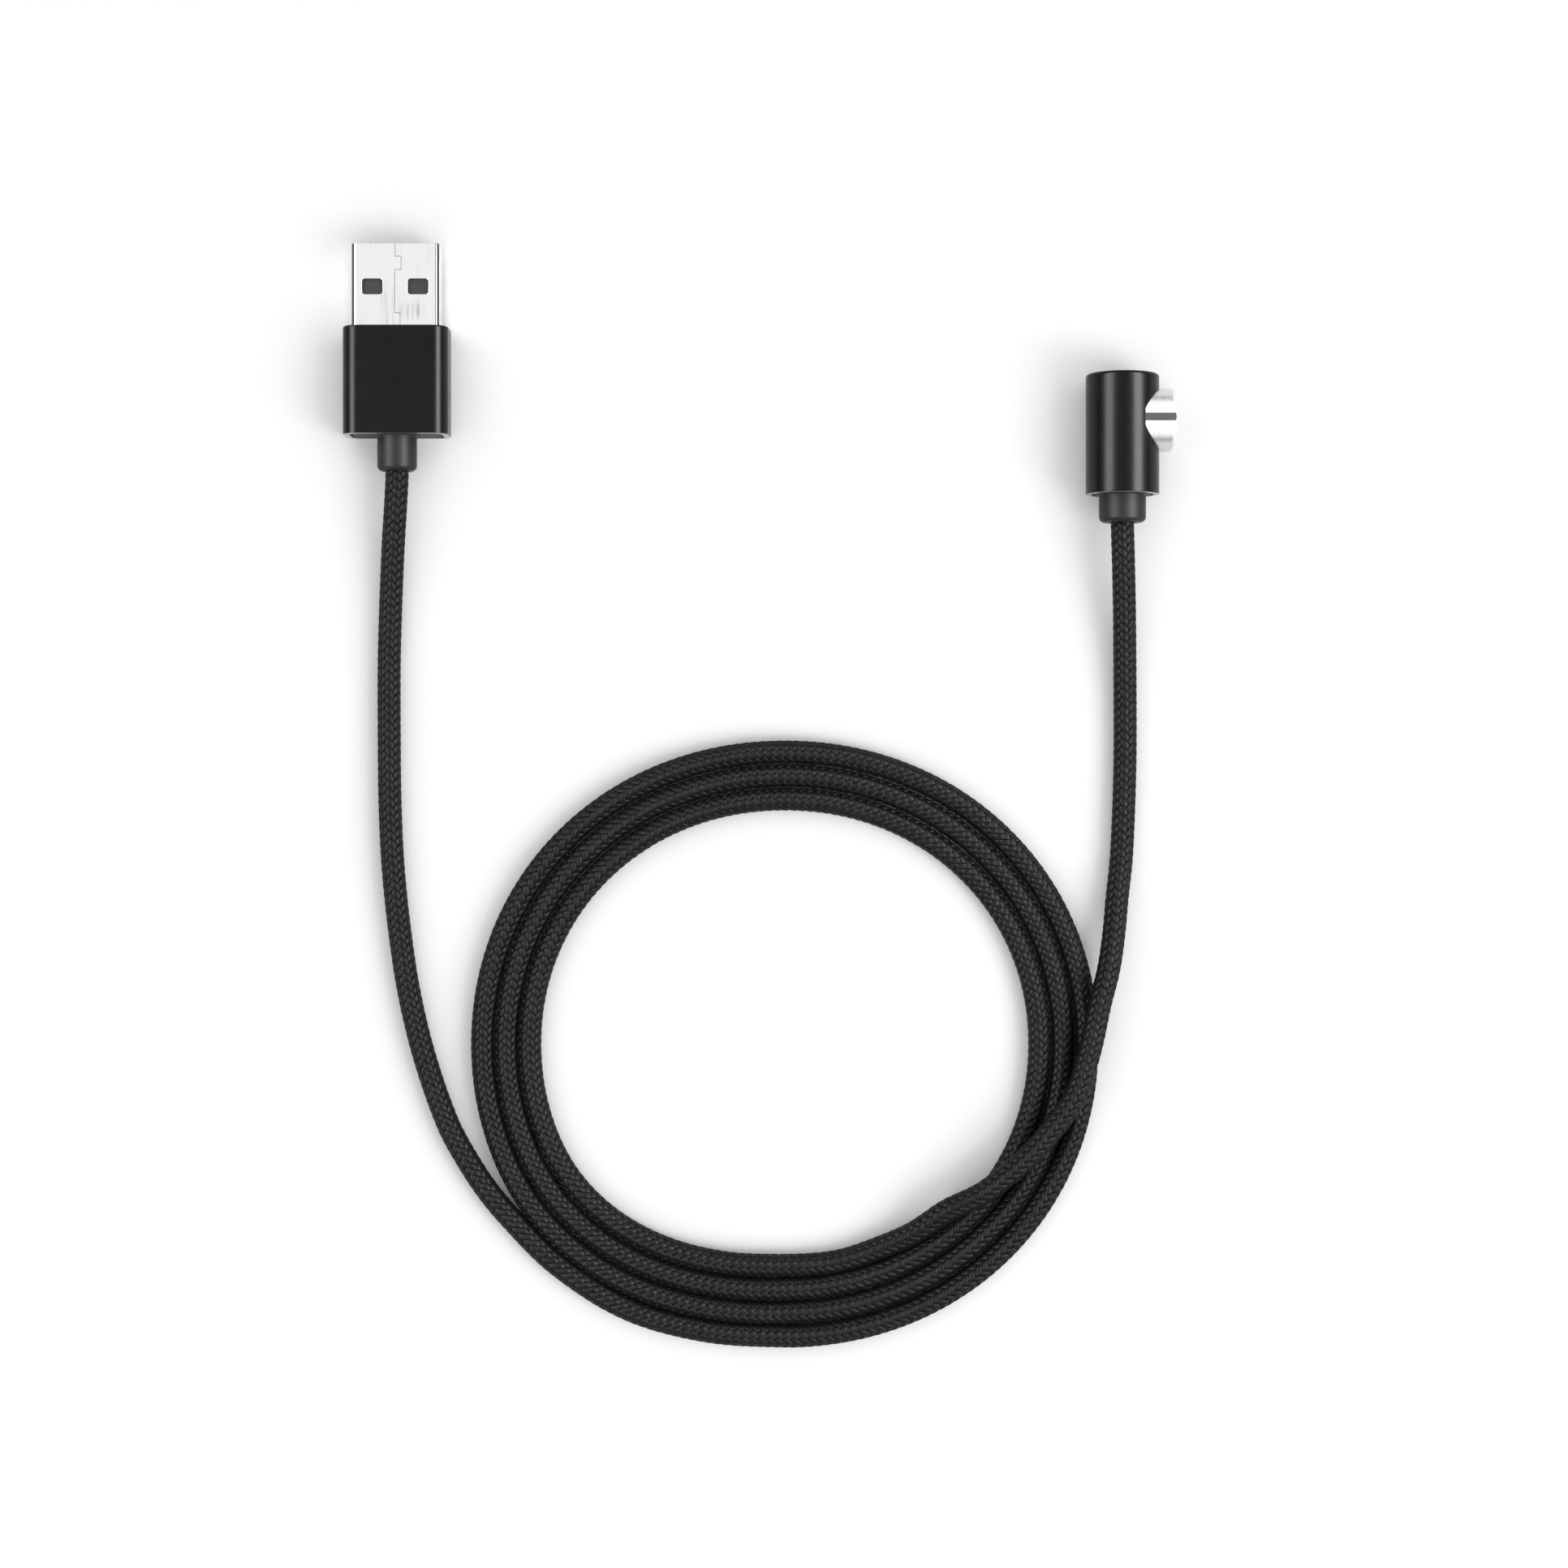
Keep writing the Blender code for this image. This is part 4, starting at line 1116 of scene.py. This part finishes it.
def make_disc(finishes):
    """Insulating disc in the collar's face, with a raised ring around the centre pin."""
    outer = (disc_high[1] - disc_low[1]) / 2
    front = disc_high[0]
    back = disc_low[0]
    bore = 0.8 * MM
    profile = [(bore, back), (outer, back)]
    profile += reversed(rounded_edge(outer, front, 0.1 * MM, 1, 4))
    groove = front - 0.08 * MM
    profile += [(1.75 * MM, front), (1.7 * MM, groove), (1.45 * MM, groove), (1.4 * MM, front)]
    profile += [(bore + 0.06 * MM, front), (bore, front - 0.06 * MM)]
    mesh = turned("contact_disc", profile, (0, COLLAR_Y, HEAD_Z), "X", 96)
    disc = add_piece("contact_disc", mesh, [finishes["tongue_plastic"]])
    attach(disc, "cable")
    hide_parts("head_contact_disc")
    return disc


def make_spring(finishes):
    """The pin's return spring: five turns of round wire wound along the collar's axis, between the
    spring's ends in the model.
    """
    wire = 0.12 * MM
    turns = 5
    steps = 24 * turns
    radius = (spring_high[1] - spring_low[1]) / 2 - wire
    start = spring_low[0] + wire
    end = spring_high[0] - wire
    points = []
    for step in range(steps + 1):
        angle = 2 * math.pi * turns * step / steps
        x = start + (end - start) * step / steps
        points.append((x, COLLAR_Y + radius * math.cos(angle), HEAD_Z + radius * math.sin(angle)))
    line = line_curve("return_spring", points)
    line.bevel_depth = wire
    line.bevel_resolution = 3
    line.use_fill_caps = True
    host = bpy.data.objects.new("return_spring_host", line)
    bpy.context.collection.objects.link(host)
    spring = add_piece("return_spring", frozen(host), [finishes["spring_steel"]])
    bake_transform(spring)
    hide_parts("pin_spring")
    return spring


def make_head_relief(finishes):
    """One moulding: the plug in the barrel's open end and the ringed boot behind it."""
    count = 96
    centre = (HEAD_X, HEAD_Z)
    back = barrel_low[1]
    outer = 3.95 * MM
    sections = [section_at(round_outline(BOOT_BORE, count), centre, head_relief_high[1])]
    for inset, y in (
        (0.1 * MM, head_relief_high[1]),
        (0, head_relief_high[1] - 0.1 * MM),
        (0, back + 0.08 * MM),
        (0.08 * MM, back),
    ):
        sections.append(section_at(round_outline(outer - inset, count), centre, y))
    sections += boot_sections(centre, 3.2 * MM, back, head_relief_low[1], count)
    relief = add_piece("head_boot", skin("head_boot", sections, True), [finishes["boot_rubber"]])
    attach(relief, "cable")
    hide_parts("head_strain_relief")
    return relief


def paint_kept_nodes(finishes):
    """Finishes for the modelled parts that keep their shape."""
    kept = {
        "usb_insulator": "tongue_plastic",
        "usb_contact_power": "gold_plating",
        "usb_contact_data_minus": "gold_plating",
        "usb_contact_data_plus": "gold_plating",
        "usb_contact_ground": "gold_plating",
        "usb_crimp_sleeve": "crimp_brass",
        "usb_wire_positive": "red_insulation",
        "usb_wire_negative": "black_insulation",
        "head_magnet": "magnet_nickel",
        "pin_sleeve": "gold_plating",
        "contact_pin": "gold_plating",
        "head_circuit_board": "board_mask",
        "head_carrier": "carrier_plastic",
        "head_crimp_sleeve": "crimp_brass",
        "head_wire_positive": "red_insulation",
        "head_wire_negative": "black_insulation",
    }
    for name, finish in kept.items():
        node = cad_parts[name]
        node.data.materials.clear()
        node.data.materials.append(finishes[finish])


# ---------------------------------------------------------------- studio


def make_floor():
    """A wide pale table top."""
    made, tree, surface = new_finish("table_top", (0.9, 0.9, 0.9), 0.6)
    surface.inputs["Specular IOR Level"].default_value = 0.1
    grain = noise(tree, object_coords(tree), 40, 2.0)
    colour = tint(tree, grain, (0.895, 0.895, 0.895), (0.905, 0.905, 0.905))
    tree.links.new(colour, surface.inputs["Base Color"])
    half = 4.0
    outline = [(-half, -half), (half, -half), (half, half), (-half, half)]
    mesh = prism_up("table_top", outline, -0.01, 0.0)
    floor = add_piece("table_top", mesh, [made])


def add_strip(name, place, target, width, length, power, seen_by):
    """A rectangular soft light with its length level; it lights surfaces or shows in reflections."""
    lamp = bpy.data.lights.new(name, "AREA")
    lamp.shape = "RECTANGLE"
    lamp.size = length
    lamp.size_y = width
    lamp.energy = power
    strip = bpy.data.objects.new(name, lamp)
    strip.location = place
    strip.rotation_euler = (Vector(target) - Vector(place)).to_track_quat("-Z", "Y").to_euler()
    strip.visible_diffuse = seen_by == "surfaces"
    strip.visible_glossy = seen_by == "reflections"
    bpy.context.collection.objects.link(strip)
    return strip


def make_sky():
    """Studio surroundings: bright overhead, dark towards the horizon, and white to the camera itself."""
    world = bpy.data.worlds.new("studio")
    world.use_nodes = True
    tree = world.node_tree
    coords = add(tree, "ShaderNodeTexCoord").outputs["Generated"]
    height = add(tree, "ShaderNodeSeparateXYZ", {"Vector": coords}).outputs["Z"]
    colour = tint(tree, height, (0.05, 0.05, 0.05), (1.0, 1.0, 1.0), 0.06, 0.42)
    background = tree.nodes["Background"]
    seen = add(tree, "ShaderNodeLightPath").outputs["Is Camera Ray"]
    tree.links.new(painted_over(tree, seen, colour, (1.0, 1.0, 1.0)), background.inputs["Color"])
    background.inputs["Strength"].default_value = 0.97
    bpy.context.scene.world = world


def make_studio():
    make_floor()
    make_sky()
    middle = (0.0, -0.055, 0.0)
    add_strip("key_light", (0.62, -0.36, 0.6), middle, 0.6, 0.4, 3.6, "surfaces")
    add_strip("right_strip", (0.64, 0.0, 0.6), middle, 0.4, 1.1, 28.0, "reflections")
    add_strip("left_strip", (-0.62, 0.0, 0.6), middle, 0.4, 1.1, 20.0, "reflections")
    bpy.context.scene.view_settings.view_transform = "Standard"


def make_camera():
    """Straight down over the middle of the cable."""
    lens = bpy.data.cameras.new("overhead")
    lens.lens = 72.1
    lens.sensor_width = 36.0
    lens.clip_start = 0.02
    lens.clip_end = 10.0
    camera = bpy.data.objects.new("overhead", lens)
    camera.location = (3.55 * MM, -54.72 * MM, 434 * MM)
    bpy.context.collection.objects.link(camera)
    bpy.context.scene.camera = camera


make_camera()
make_studio()
paints = paint_finishes()
make_cord(paints)
make_shell(paints)
make_housing(paints)
make_plug_relief(paints)
make_barrel(paints)
make_collar(paints)
make_key(paints)
make_disc(paints)
make_spring(paints)
make_head_relief(paints)
paint_kept_nodes(paints)
